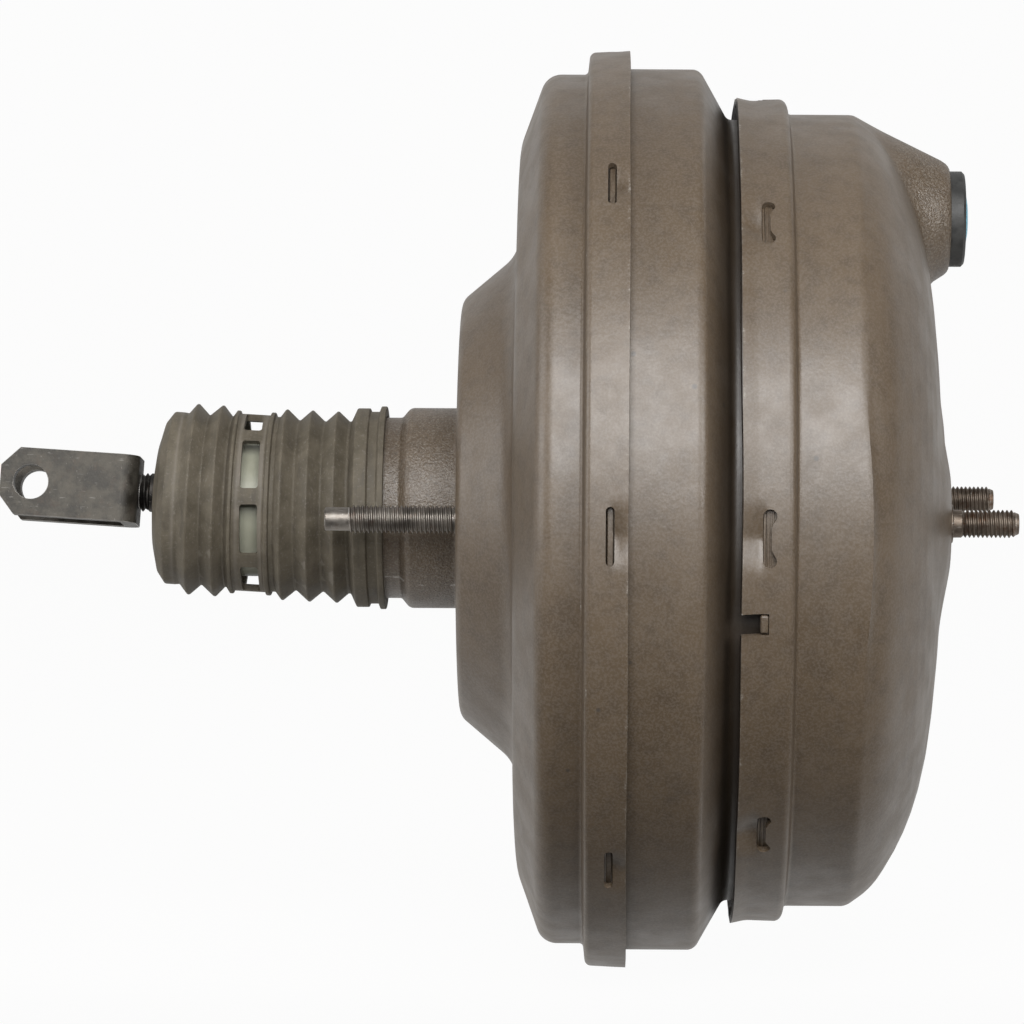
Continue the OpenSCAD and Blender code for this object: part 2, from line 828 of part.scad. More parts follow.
module coil(x0, x1, r0, r1, wire_r, turns, per_turn = 18, sides = 6, dead = 0.7) {
    steps = ceil(turns * per_turn);
    centres = [for (k = [0:steps]) coil_point(k / steps, x0, x1, r0, r1, turns, dead)];
    rings = [for (k = [0:steps])
        let (
            along = unit(centres[min(steps, k + 1)] - centres[max(0, k - 1)]),
            out = unit([0, centres[k][1], centres[k][2]]),
            side = unit(cross(along, out)),
            up = cross(side, along)
        )
        [for (j = [0:sides - 1])
            centres[k] + wire_r * (up * cos(j * 360 / sides) + side * sin(j * 360 / sides))]];
    polyhedron(
        points = [for (ring_points = rings) each ring_points],
        faces = concat(
            [[for (j = [0:sides - 1]) j]],
            [for (k = [0:steps - 1])
                for (j = [0:sides - 1])
                    let (j2 = (j + 1) % sides)
                    each [[k * sides + j, (k + 1) * sides + j, (k + 1) * sides + j2],
                          [k * sides + j, (k + 1) * sides + j2, k * sides + j2]]],
            [[for (j = [sides - 1:-1:0]) steps * sides + j]]
        )
    );
}

spring_wire = 2.1;

module return_spring() {
    x0 = front_plate_x + plate_t + spring_wire + 0.1;
    x1 = front_plate_back_x - spring_wire - 0.1;
    color(zinc)
        coil(x0, x1, front_nose_r + 5 + spring_wire + 0.4, plate_mid_r - spring_wire, spring_wire, 5);
}

// Valve body: rear tube, hub flange, front tube and nose, with the bores for the valve
chamber_r = 15.5;
chamber_x = -47.5;
vacuum_seat_x = -30.5;
plunger_r = 8;
rod_head_r = 13.6;
disc_x = 26;
disc_t = 7;
head_t = 4;
front_bore_r = 14.2;
nose_end_x = front_plate_x + plate_t + 1.6 + 1.6;
key_x = 14;
key_t = 2;
passage_r = 1.5;

module valve_body() {
    color(nylon)
        difference() {
            revolve([
                [tube_rear_x, tube_bore_r], [tube_rear_x, tube_r - 0.6], [tube_rear_x + 0.6, tube_r],
                [hub_flange_x, tube_r], [hub_flange_x, hub_flange_r],
                [hub_flange_x + hub_flange_t, hub_flange_r], [hub_flange_x + hub_flange_t, front_tube_r + 3],
                [rear_plate_x - 0.1, front_tube_r + 3], [rear_plate_x - 0.1, front_tube_r],
                [front_plate_x - 1.2, front_tube_r], [front_plate_x - 0.1, front_tube_r - 1.1],
                [front_plate_x - 0.1, front_nose_r],
                [nose_end_x, front_nose_r], [nose_end_x, front_bore_r],
                [disc_x, front_bore_r], [disc_x, plunger_r + slide_fit],
                [vacuum_seat_x + 3, plunger_r + slide_fit], [vacuum_seat_x + 3, 11.2],
                [vacuum_seat_x, 11.2], [vacuum_seat_x, 12.4], [vacuum_seat_x + 1.6, 12.4],
                [vacuum_seat_x + 1.6, chamber_r], [chamber_x, chamber_r], [chamber_x, tube_bore_r]
            ]);
            around(4, 45)
                translate([0, 0, 13.9])
                    rod(vacuum_seat_x + 1, disc_x - 2, passage_r, 24);
            around(4, 45)
                translate([hub_flange_x + hub_flange_t + 9, 0, 13.9])
                    cylinder(h = 10, r = passage_r, $fn = 24);
            translate([key_x - 0.1, -key_w_slot / 2, -front_tube_r - over])
                cube([key_t + 0.2, key_w_slot, 2 * (front_tube_r + over)]);
        }
}

key_w_body = 13;
key_w_slot = key_w_body + 0.4;
key_slot_r = 5.3;

// Flat key pushed across the valve body; it stops the plunger in its groove
module stop_key() {
    color(zinc)
        difference() {
            translate([key_x, -key_w_body / 2, -front_tube_r - 2.5])
                cube([key_t, key_w_body, 2 * front_tube_r + 5]);
            rod(key_x - over, key_x + key_t + over, key_slot_r, fine_fn);
            translate([key_x - over, -key_slot_r, 0])
                cube([key_t + 2 * over, 2 * key_slot_r, front_tube_r + 5]);
        }
}

module reaction_disc() {
    color(black_rubber)
        rod(disc_x, disc_x + disc_t, front_bore_r - slide_fit, round_fn);
}

rod_tip_x = 120.5;
screw_r = 3.5;
screw_len = 6;

module output_rod() {
    color(zinc)
        revolve([
            [disc_x + disc_t, 0], [disc_x + disc_t, rod_head_r], [disc_x + disc_t + head_t, rod_head_r],
            [disc_x + disc_t + head_t, 7], [disc_x + disc_t + head_t + 2, 5.5],
            [rod_tip_x - 1, 5.5], [rod_tip_x, 4.5], [rod_tip_x, 0]
        ]);
}

module output_rod_retainer() {
    x0 = disc_x + disc_t + head_t;
    color(zinc)
        revolve([
            [x0, 9], [x0, front_bore_r], [x0 + 6, front_bore_r],
            [x0 + 6, front_bore_r - 1], [x0 + 1.2, front_bore_r - 1], [x0 + 1.2, 9]
        ]);
}

module output_rod_screw() {
    color(zinc)
        revolve(
            concat(
                [[rod_tip_x, 0]],
                rounded([
                    [rod_tip_x, screw_r, 0],
                    [rod_tip_x + screw_len, screw_r, 2],
                    [rod_tip_x + screw_len + 1, 0, 0]
                ])
            ),
            fine_fn
        );
}

// The parts in the rear bore, from the mouth inwards
retainer_t = 2;
filter_x0 = tube_rear_x + retainer_t;
filter_x1 = filter_x0 + 7;
silencer_x1 = filter_x1 + 4.5;
filter_in_r = 10.8;

module filter_retainer() {
    color(nylon) {
        ring(tube_rear_x, tube_rear_x + retainer_t, filter_in_r + 0.6, filter_in_r + 1.8);
        ring(tube_rear_x, tube_rear_x + retainer_t, tube_bore_r - 1.2, tube_bore_r);
        around(6)
            translate([tube_rear_x, -0.9, filter_in_r + 1.2])
                cube([retainer_t, 1.8, tube_bore_r - filter_in_r - 1.8]);
    }
}

module air_filter() {
    color(felt)
        ring(filter_x0, filter_x1, filter_in_r, tube_bore_r, round_fn);
}

module silencer() {
    color([0.3, 0.3, 0.3])
        ring(filter_x1, silencer_x1, filter_in_r, tube_bore_r, round_fn);
}

poppet_face_x = -32.5;
poppet_rear_x = -47.5;

// Rubber valve: a stiff lip that closes on both seats, a thin bellows and a bead
module poppet() {
    color(black_rubber)
        revolve([
            [poppet_face_x, 8.4], [poppet_face_x, 14.4], [poppet_face_x - 2.2, 14.4],
            [poppet_face_x - 2.6, 12], [poppet_face_x - 6, 13], [poppet_rear_x + 3, 13.4],
            [poppet_rear_x + 2, chamber_r - 0.1], [poppet_rear_x, chamber_r - 0.1],
            [poppet_rear_x, 12.4], [poppet_face_x - 6.2, 12],
            [poppet_face_x - 3.8, 11], [poppet_face_x - 2.8, 8.4]
        ], fine_fn);
}

module poppet_retainer() {
    color(zinc)
        revolve([
            [poppet_rear_x - 1.4, 13.4], [poppet_rear_x, 13.4], [poppet_rear_x, tube_bore_r],
            [poppet_rear_x - 4, tube_bore_r], [poppet_rear_x - 4, tube_bore_r - 1.2],
            [poppet_rear_x - 1.4, tube_bore_r - 1.2]
        ], fine_fn);
}

seat_back = 33;
seat_t = 1.2;
seat_r = 14.6;
neck_of_rod_r = 4.5;

module poppet_spring() {
    color(zinc)
        coil(poppet_face_x - 4.2, ball_x - seat_back + seat_t + 3.1, 9.7, 9.7, 0.5, 5, 16, 6);
}

module rod_return_spring() {
    color(zinc)
        coil(poppet_rear_x - 2.4, ball_x - seat_back + seat_t + 2.2, 14.3, 13, 0.8, 3.5, 16, 6);
}

groove_x0 = key_x - plunger_travel - air;
groove_x1 = key_x + key_t + air;
socket_r = ball_r + 0.1;
socket_mouth_r = 5.3;
air_seat_r = 10.2;

// Plunger: its rear rim is the air seat, and the rod's ball is staked in its socket
module valve_plunger() {
    color(zinc)
        difference() {
            revolve([
                [poppet_face_x + air, 0], [poppet_face_x + air, air_seat_r],
                [poppet_face_x + 2.2, air_seat_r], [vacuum_seat_x + 2.6 - plunger_travel, plunger_r],
                [groove_x0, plunger_r], [groove_x0, 4.9], [groove_x1, 4.9], [groove_x1, plunger_r],
                [disc_x - plunger_travel - air, plunger_r], [disc_x - plunger_travel - air, 0]
            ], fine_fn);
            translate([ball_x, 0, 0])
                sphere(r = socket_r, $fn = fine_fn);
            rod(poppet_face_x - over, ball_x, socket_mouth_r, fine_fn);
            cone(poppet_face_x, ball_x - 3, socket_mouth_r + 1.6, socket_mouth_r, fine_fn);
        }
}

// Cup on the rod's shoulder; both valve springs push on it
module spring_seat() {
    color(zinc)
        on_rod()
            revolve([
                [-seat_back, neck_of_rod_r + 0.4], [-seat_back, seat_r], [-seat_back + 2.4, seat_r],
                [-seat_back + 2.4, seat_r - seat_t], [-seat_back + seat_t, seat_r - seat_t],
                [-seat_back + seat_t, neck_of_rod_r + 0.4]
            ], fine_fn);
}

// Loose washer under the inner spring, with room for the rod's side swing
module seat_ring() {
    back = -seat_back + seat_t + 0.55;
    color(bare_steel)
        on_rod()
            ring(back, back + 1.2, neck_of_rod_r + 1.7, 9.9, fine_fn);
}

rod_end = clevis_reach + clevis_t - 0.8;

module input_rod() {
    color(bare_steel)
        on_rod() {
            sphere(r = ball_r, $fn = fine_fn);
            rod(-10, -ball_r + 1.2, 3.7);
            cone(-13, -10, neck_of_rod_r, 3.7);
            rod(-seat_back - air, -13, neck_of_rod_r);
            rod(-clevis_reach, -seat_back - air, rod_r);
            rod(-rod_end, -clevis_reach, rod_r - 0.9);
        }
}

clevis_bend = 5.2;
clevis_chamfer = 4;
chamfer_side = clevis_chamfer * sqrt(2);

// Strip bent to a U: web towards the booster, ears towards the pedal
module clevis() {
    inner_bend = clevis_bend - clevis_t;
    color(bare_steel)
        on_rod()
            rotate([clevis_roll, 0, 0])
                translate([-clevis_reach - clevis_len, 0, 0])
                    difference() {
                        translate([0, 0, -clevis_h / 2])
                            linear_extrude(clevis_h)
                                difference() {
                                    clevis_outline(0, clevis_bend);
                                    clevis_outline(clevis_t, inner_bend);
                                }
                        translate([pin_back, 0, 0])
                            rotate([90, 0, 0])
                                cylinder(h = clevis_w + 2, r = pin_hole_r, center = true, $fn = fine_fn);
                        rod(clevis_len - clevis_t - over, clevis_len + over, rod_r - 0.9);
                        for (side = [-1, 1])
                            translate([0, 0, side * clevis_h / 2])
                                rotate([0, 45, 0])
                                    cube([chamfer_side, clevis_w + 2, chamfer_side], center = true);
                    }
}

module clevis_outline(inset, bend) {
    half = clevis_w / 2 - inset;
    front = clevis_len - inset;
    translate([-over, -half])
        square([front - bend + over, 2 * half]);
    translate([front - bend - 0.01, -half + bend])
        square([bend + 0.01, 2 * (half - bend)]);
    for (side = [-1, 1])
        translate([front - bend, side * (half - bend)])
            circle(r = bend, $fn = fine_fn);
}

rear_shell();
mid_housing();
front_shell();
centre_plate();
rear_stud_plate();
front_stud_plate();
bulkhead_studs();
cylinder_studs();
neck_bearing();
neck_seal();
neck_retainer();
centre_bearing();
centre_seal();
centre_retainer();
vacuum_grommet();
port_plug();
boot();
rear_diaphragm();
front_diaphragm();
return_spring();
valve_body();
rear_plate();
front_plate();
rear_plate_ring();
front_plate_ring();
stop_key();
reaction_disc();
output_rod();
output_rod_retainer();
output_rod_screw();
air_filter();
silencer();
filter_retainer();
poppet();
poppet_retainer();
poppet_spring();
rod_return_spring();
valve_plunger();
spring_seat();
seat_ring();
input_rod();
clevis();
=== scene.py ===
import math
import random

import bmesh
import bpy
import numpy as np
from mathutils import Matrix, Vector


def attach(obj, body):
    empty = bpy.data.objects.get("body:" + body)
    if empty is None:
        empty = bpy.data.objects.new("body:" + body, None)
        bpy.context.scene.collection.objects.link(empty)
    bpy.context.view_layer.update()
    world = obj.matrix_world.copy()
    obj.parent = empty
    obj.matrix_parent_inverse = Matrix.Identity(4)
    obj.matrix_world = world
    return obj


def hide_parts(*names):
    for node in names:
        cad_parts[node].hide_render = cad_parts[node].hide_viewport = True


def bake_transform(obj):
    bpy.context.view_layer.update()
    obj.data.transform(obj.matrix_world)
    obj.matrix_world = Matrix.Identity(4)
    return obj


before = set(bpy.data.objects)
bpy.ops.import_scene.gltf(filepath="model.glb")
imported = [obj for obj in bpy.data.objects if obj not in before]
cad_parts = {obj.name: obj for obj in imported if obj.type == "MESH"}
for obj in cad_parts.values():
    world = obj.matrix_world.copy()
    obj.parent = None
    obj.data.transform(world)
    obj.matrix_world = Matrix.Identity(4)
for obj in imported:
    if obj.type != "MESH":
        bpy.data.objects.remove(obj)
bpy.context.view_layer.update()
MM = 0.001
DATUM = 1.5           # mm from this script's zero to the mounting face
BOSS_Z = 86.0         # mm, height of the vacuum port's axis
scene = bpy.context.scene


# ---------------------------------------------------------------- camera
SCALE = 3.39          # pixels per mm in the axis plane
DISTANCE = 1427.0     # mm from the camera to the axis
PRINCIPAL = 620.0     # image column the camera faces
ORIGIN_PX = (462.0, 508.2)
ELEVATION = math.radians(4.25)
ROLL = math.radians(-0.35)
IMAGE = 1024          # pixels a side
SENSOR = 36           # mm

target = Vector(((PRINCIPAL - ORIGIN_PX[0]) / SCALE * MM, 0, 0))
back = Vector((0, -math.cos(ELEVATION), math.sin(ELEVATION)))
camera = bpy.data.objects.new("camera", bpy.data.cameras.new("camera"))
scene.collection.objects.link(camera)
camera.location = target + back * DISTANCE * MM
camera.rotation_mode = "QUATERNION"
level = (-back).to_track_quat("-Z", "Y")
camera.rotation_quaternion = level @ Matrix.Rotation(-ROLL, 4, "Z").to_quaternion()
camera.data.sensor_width = SENSOR
camera.data.lens = SENSOR * SCALE * DISTANCE / IMAGE
camera.data.shift_x = (IMAGE / 2 - PRINCIPAL) / IMAGE
camera.data.shift_y = (ORIGIN_PX[1] + 1 - IMAGE / 2) / IMAGE
camera.data.clip_start = 0.05
camera.data.clip_end = 50
scene.camera = camera
scene.view_settings.view_transform = "Standard"


# ---------------------------------------------------------------- node helpers
class Nodes:
    """Builds one node material."""

    def __init__(self, name):
        self.material = bpy.data.materials.new(name)
        self.material.use_nodes = True
        self.tree = self.material.node_tree
        self.shader = self.tree.nodes["Principled BSDF"]
        self.coords = self.tree.nodes.new("ShaderNodeTexCoord").outputs["Object"]

    def put(self, socket, value):
        if isinstance(value, bpy.types.NodeSocket):
            self.tree.links.new(value, socket)
        else:
            socket.default_value = value

    def add(self, kind, **inputs):
        node = self.tree.nodes.new(kind)
        for key, value in inputs.items():
            self.put(node.inputs[key], value)
        return node

    def noise(self, scale, detail=3.0, rough=0.5, vector=None):
        n = self.add("ShaderNodeTexNoise", Scale=scale, Detail=detail, Roughness=rough)
        self.put(n.inputs["Vector"], vector or self.coords)
        return n.outputs["Fac"]

    def cells(self, scale):
        n = self.add("ShaderNodeTexVoronoi", Scale=scale)
        self.put(n.inputs["Vector"], self.coords)
        return n

    def math(self, op, a, b=0.0):
        n = self.tree.nodes.new("ShaderNodeMath")
        n.operation = op
        self.put(n.inputs[0], a)
        self.put(n.inputs[1], b)
        return n.outputs[0]

    def times(self, a, b):
        return self.math("MULTIPLY", a, b)

    def most(self, a, b):
        return self.math("MAXIMUM", a, b)

    def apart(self, a, b):
        """The distance between two values."""
        return self.math("ABSOLUTE", self.math("SUBTRACT", a, b))

    def length(self, a, b):
        return self.math("SQRT", self.math("ADD", self.times(a, a), self.times(b, b)))

    def pointiness(self):
        return self.tree.nodes.new("ShaderNodeNewGeometry").outputs["Pointiness"]

    def ramp(self, value, low, high, to_low=0.0, to_high=1.0):
        n = self.tree.nodes.new("ShaderNodeMapRange")
        n.interpolation_type = "SMOOTHSTEP"
        ends = {"From Min": low, "From Max": high, "To Min": to_low, "To Max": to_high}
        self.put(n.inputs["Value"], value)
        for key, v in ends.items():
            self.put(n.inputs[key], v)
        return n.outputs[0]

    def mix(self, fac, a, b):
        n = self.tree.nodes.new("ShaderNodeMix")
        n.data_type = "RGBA"
        self.put(n.inputs[0], fac)
        self.put(n.inputs[6], a)
        self.put(n.inputs[7], b)
        return n.outputs[2]

    def bump(self, height, strength, distance, normal=None):
        n = self.add("ShaderNodeBump", Strength=strength, Distance=distance, Height=height)
        if normal is not None:
            self.put(n.inputs["Normal"], normal)
        return n.outputs[0]

    def stretched(self, sx, sy, sz, turn=(0, 0, 0)):
        n = self.tree.nodes.new("ShaderNodeMapping")
        n.inputs["Scale"].default_value = (sx, sy, sz)
        n.inputs["Rotation"].default_value = turn
        self.put(n.inputs["Vector"], self.coords)
        return n.outputs[0]

    def xyz(self):
        n = self.tree.nodes.new("ShaderNodeSeparateXYZ")
        self.put(n.inputs[0], self.coords)
        return n.outputs

    def finish(self, color, rough, metallic=0.0, normal=None, **more):
        self.put(self.shader.inputs["Base Color"], color)
        self.put(self.shader.inputs["Roughness"], rough)
        self.put(self.shader.inputs["Metallic"], metallic)
        if normal is not None:
            self.put(self.shader.inputs["Normal"], normal)
        for key, value in more.items():
            self.put(self.shader.inputs[key], value)
        return self.material


def rgb(r, g, b):
    return (r, g, b, 1.0)


# ---------------------------------------------------------------- materials
# Places on the part in metres, in the frame's axes
REAR_BAND_EDGE = (0.0490, 0.1318)     # x and least radius of the first band's free edge
FRONT_BAND_EDGE = (0.0797, 0.1186)
EDGE_FADE = 0.0008
GROOVE_X = 0.0645                     # grime gathers on the mid housing
BARE = rgb(0.42, 0.40, 0.37)
# Near-black painted shade for the groove and under the front band
GROOVE_SHADE = rgb(0.018, 0.012, 0.007)


def paint_material(name):
    """Satin grey-brown paint: cloudy tone, pin-head dirt, orange peel, bare flecks on edges; painted shade in
    the groove and under the front band, painted glints and pit shade round the neck and boss.
    """
    m = Nodes(name)
    x, y, z = m.xyz()
    cloud = m.noise(16, 4, 0.6)
    fine = m.noise(1500, 2, 0.6)
    mid = m.noise(210, 3, 0.6)
    tone = m.mix(m.ramp(cloud, 0.35, 0.65), rgb(0.084, 0.057, 0.032), rgb(0.104, 0.073, 0.044))
    tone = m.mix(m.ramp(mid, 0.42, 0.7, 0, 0.45), tone, rgb(0.056, 0.039, 0.024))
    tone = m.mix(m.ramp(fine, 0.42, 0.62, 0, 0.4), tone, rgb(0.150, 0.120, 0.094))
    spots = m.cells(120)
    draw = m.add("ShaderNodeSeparateColor", Color=spots.outputs["Color"]).outputs[0]
    chosen = m.math("GREATER_THAN", draw, 0.93)
    speck = m.times(m.ramp(spots.outputs["Distance"], 0.05, 0.13, 1, 0), chosen)
    tone = m.mix(m.times(speck, 0.75), tone, rgb(0.035, 0.030, 0.026))
    radius = m.length(y, z)
    beside_groove = m.ramp(m.apart(x, GROOVE_X), 0.0, 0.018, 1, 0)
    smoke = m.times(m.ramp(m.noise(34, 4, 0.7), 0.55, 0.75), beside_groove)
    tone = m.mix(m.times(smoke, 0.45), tone, rgb(0.045, 0.039, 0.034))
    worn = m.times(m.ramp(m.pointiness(), 0.56, 0.66), m.ramp(m.noise(240, 3, 0.7), 0.52, 0.66))

    def band_edge(at, least):
        near = m.ramp(m.apart(x, at), 0.0002, 0.0010, 1, 0)
        return m.times(near, m.ramp(radius, least - EDGE_FADE, least))

    # Bare flecks on the bands' free edges
    edges = m.times(m.most(band_edge(*REAR_BAND_EDGE), band_edge(*FRONT_BAND_EDGE)), 0.6)
    chips = m.times(edges, m.ramp(m.noise(170, 6, 0.9), 0.53, 0.66))
    tone = m.mix(m.times(m.most(worn, chips), 0.8), tone, BARE)

    # Painted shade where the mid housing narrows and under the front band
    taper = m.times(m.ramp(x, 0.0685, 0.0762), m.ramp(x, 0.0796, 0.0799, 1, 0))
    under = m.times(m.ramp(x, 0.0795, 0.0798), m.ramp(radius, 0.1176, 0.1171))
    under = m.times(under, m.ramp(x, 0.0938, 0.0934))
    tone = m.mix(m.times(m.most(taper, under), 0.88), tone, GROOVE_SHADE)

    # Coarse spray round the neck and the port boss: grain bumps, painted glints and painted shade in its pits
    near_neck = m.times(m.ramp(x, 0.004, -0.001), m.ramp(radius, 0.034, 0.031))
    boss = m.length(y, m.math("SUBTRACT", z, BOSS_Z * MM))
    near_boss = m.times(m.ramp(boss, 0.030, 0.022), m.ramp(x, 0.1165, 0.1285))
    rough_zone = m.most(near_neck, near_boss)
    # Bright specks in the spray are painted glints of sheen
    painted_glints = m.times(m.ramp(m.noise(1700, 2, 0.5), 0.50, 0.66), rough_zone)
    tone = m.mix(m.times(painted_glints, 0.5), tone, rgb(0.22, 0.19, 0.155))
    # Dark specks in the spray are painted shade in its pits
    pit_shade = m.times(m.ramp(m.noise(1300, 2, 0.5), 0.42, 0.34), rough_zone)
    tone = m.mix(m.times(pit_shade, 0.4), tone, rgb(0.045, 0.036, 0.027))
    grain = m.times(m.noise(1500, 2, 0.55), rough_zone)
    orange_peel = m.bump(m.noise(760, 2, 0.5), 0.13, 0.0004)
    normal = m.bump(grain, 0.6, 0.0005, orange_peel)
    rough = m.ramp(m.noise(90, 3, 0.6), 0.3, 0.7, 0.40, 0.50)
    return m.finish(tone, rough, 0.0, normal, **{"Specular IOR Level": 0.85, "IOR": 1.5})


def boot_material():
    """Rubber under dusty overspray of the same paint, with painted shade in the folds and painted highlights
    on the crests.
    """
    m = Nodes("boot_rubber")
    x, y, z = m.xyz()
    dust = m.noise(150, 4, 0.65)
    tone = m.mix(m.ramp(dust, 0.3, 0.7), rgb(0.086, 0.073, 0.052), rgb(0.132, 0.113, 0.083))
    streaks = m.noise(1.0, 3, 0.6, vector=m.stretched(420, 90, 90))
    tone = m.mix(m.ramp(streaks, 0.5, 0.75, 0, 0.45), tone, rgb(0.060, 0.052, 0.043))
    tone = m.mix(m.ramp(m.noise(1400, 2), 0.55, 0.75, 0, 0.35), tone, rgb(0.22, 0.20, 0.175))
    edge = m.pointiness()
    # Darker where the surface is hollow, in the folds: painted shade
    tone = m.mix(m.ramp(edge, 0.50, 0.40, 0, 0.55), tone, rgb(0.035, 0.030, 0.025))
    # Lighter on the sharp crests: painted highlight
    tone = m.mix(m.ramp(edge, 0.53, 0.62, 0, 0.45), tone, rgb(0.24, 0.215, 0.185))
    normal = m.bump(m.noise(900, 3, 0.6), 0.2, 0.0003)
    return m.finish(tone, m.ramp(dust, 0.3, 0.7, 0.55, 0.72), 0.0, normal, **{"Specular IOR Level": 0.35})


def steel_material(name, dark, light, scratch, rust=0.0, rough=(0.34, 0.55), metallic=0.85, worn=0.7):
    """Bare steel: mottled tone, fine scratches, bright worn corners, some rust."""
    m = Nodes(name)
    mottled = m.noise(170, 5, 0.65)
    tone = m.mix(m.ramp(mottled, 0.35, 0.68), dark, light)
    long_marks = m.noise(1.0, 2, 0.5, vector=m.stretched(260, 2400, 1700, (0.3, 0.5, 0.2)))
    cross_marks = m.noise(1.0, 2, 0.5, vector=m.stretched(2600, 300, 900, (0.9, 0.2, 0.7)))
    marks = m.most(m.ramp(long_marks, 0.66, 0.74), m.ramp(cross_marks, 0.68, 0.76))
    tone = m.mix(m.times(marks, scratch), tone, rgb(0.62, 0.60, 0.57))
    if worn:
        corners = m.times(m.ramp(m.pointiness(), 0.54, 0.64), worn)
        tone = m.mix(corners, tone, rgb(0.58, 0.56, 0.53))
    if rust:
        rusty = m.times(m.ramp(m.noise(330, 5, 0.7), 0.52, 0.66), rust)
        tone = m.mix(rusty, tone, rgb(0.115, 0.050, 0.022))
    normal = m.bump(m.noise(800, 4, 0.6), 0.22, 0.0002)
    return m.finish(tone, m.ramp(mottled, 0.3, 0.7, rough[0], rough[1]), metallic, normal)


def plain_material(name, low, high, scale, rough, bump=0.1, metallic=0.0):
    """One mottled tone between low and high."""
    m = Nodes(name)
    n = m.noise(scale, 4, 0.6)
    tone = m.mix(m.ramp(n, 0.3, 0.7), low, high)
    tone = m.mix(m.ramp(m.noise(scale * 9, 2), 0.5, 0.75, 0, 0.3), tone, low)
    normal = m.bump(m.noise(scale * 5, 3, 0.6), bump, 0.0002)
    return m.finish(tone, m.ramp(n, 0.3, 0.7, rough * 0.85, min(1, rough * 1.15)), metallic, normal)


PAINT = paint_material("shell_paint")
BOOT = boot_material()
CLEVIS = steel_material(
    "clevis_steel", rgb(0.026, 0.023, 0.018), rgb(0.092, 0.083, 0.068),
    scratch=0.16, rust=0.08, rough=(0.42, 0.60), metallic=0.35, worn=0)
# Bright steel for the clevis's bevelled edges, a painted edge highlight, with scratches
CLEVIS_EDGE_HIGHLIGHT = steel_material(
    "clevis_edge_highlight", rgb(0.30, 0.28, 0.26), rgb(0.48, 0.46, 0.43),
    scratch=0.4, rough=(0.3, 0.45), metallic=0.7, worn=0)
ROD = steel_material(
    "rod_steel", rgb(0.028, 0.026, 0.024), rgb(0.075, 0.070, 0.064),
    scratch=0.25, rust=0.15, rough=(0.42, 0.62))
STUD = steel_material(
    "stud_steel", rgb(0.165, 0.148, 0.130), rgb(0.30, 0.275, 0.245),
    scratch=0.35, rust=0.35, rough=(0.36, 0.55))
FRONT_STUD = steel_material(
    "front_stud_steel", rgb(0.115, 0.090, 0.070), rgb(0.235, 0.195, 0.160),
    scratch=0.3, rust=0.6, rough=(0.4, 0.6))
ZINC = plain_material("zinc_steel", rgb(0.42, 0.42, 0.40), rgb(0.55, 0.55, 0.53), 120, 0.38, 0.08, 0.8)
BLACK = plain_material("black_rubber", rgb(0.022, 0.022, 0.021), rgb(0.045, 0.045, 0.043), 260, 0.55, 0.25)
NYLON = plain_material("white_nylon", rgb(0.33, 0.33, 0.255), rgb(0.41, 0.41, 0.325), 90, 0.42, 0.05)
FELT = plain_material("felt", rgb(0.42, 0.40, 0.36), rgb(0.60, 0.58, 0.53), 900, 0.95, 0.8)
DARK_FELT = plain_material("dark_felt", rgb(0.05, 0.05, 0.05), rgb(0.11, 0.11, 0.105), 900, 0.95, 0.8)
BLUE = plain_material("plug_blue", rgb(0.10, 0.46, 0.66), rgb(0.14, 0.54, 0.74), 70, 0.32, 0.04)

# Which nodes show which material; every other node is zinc plated
WEARERS = [
    (CLEVIS, ("clevis",)),
    (ROD, ("input_rod", "seat_ring")),
    (STUD, ("bulkhead_studs",)),
    (FRONT_STUD, ("cylinder_studs",)),
    (BOOT, ("boot",)),
    (FELT, ("air_filter",)),
    (DARK_FELT, ("silencer",)),
    (BLUE, ("port_plug",)),
    (PAINT, ("rear_shell", "mid_housing", "front_shell", "centre_plate")),
    (BLACK, ("neck_seal", "centre_seal", "vacuum_grommet", "rear_diaphragm", "front_diaphragm",
             "reaction_disc", "poppet")),
    (NYLON, ("neck_bearing", "centre_bearing", "valve_body", "filter_retainer")),
]
LOOK = {name: material for material, names in WEARERS for name in names}


def dress(obj, material):
    obj.data.materials.clear()
    obj.data.materials.append(material)


for name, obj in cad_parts.items():
    dress(obj, LOOK.get(name, ZINC))


# ---------------------------------------------------------------- mesh helpers
def unit(v):
    return v / max(1e-9, float(np.hypot(*v)))


def rounded(corners, step=5.0):
    """A list of (x, r, rounding radius) as a line with arcs at its corners."""
    pts = [np.array(c[:2], float) for c in corners]
    out = []
    for i, c in enumerate(corners):
        radius = c[2] if len(c) > 2 else 0
        if i in (0, len(corners) - 1) or not radius:
            out.append(pts[i])
            continue
        u, w = unit(pts[i - 1] - pts[i]), unit(pts[i + 1] - pts[i])
        half = math.acos(max(-1, min(1, float(u @ w)))) / 2
        centre = pts[i] + unit(u + w) * radius / math.sin(half)
        start = pts[i] + u * radius / math.tan(half) - centre
        turn = (math.pi - 2 * half) * (-1 if u[0] * w[1] - u[1] * w[0] > 0 else 1)
        steps = max(2, math.ceil(abs(math.degrees(turn)) / step))
        for k in range(steps + 1):
            a = turn * k / steps
            out.append(centre + np.array([start[0] * math.cos(a) - start[1] * math.sin(a),
                                          start[0] * math.sin(a) + start[1] * math.cos(a)]))
    return np.array(out)


def densify(path, ds):
    """The same line with points at most ds apart."""
    out = [path[0]]
    for a, b in zip(path[:-1], path[1:]):
        k = max(1, int(math.ceil(np.hypot(*(b - a)) / ds)))
        out += [a + (b - a) * j / k for j in range(1, k + 1)]
    return np.array(out)


def beside(path, d):
    """The line moved sideways by d, to the left of its direction."""
    seg = np.array([unit(v) for v in path[1:] - path[:-1]])
    a = np.vstack([seg[:1], seg])
    b = np.vstack([seg, seg[-1:]])
    na = np.stack([-a[:, 1], a[:, 0]], 1)
    nb = np.stack([-b[:, 1], b[:, 0]], 1)
    return path + (na + nb) * (d / (1 + (na * nb).sum(1)))[:, None]


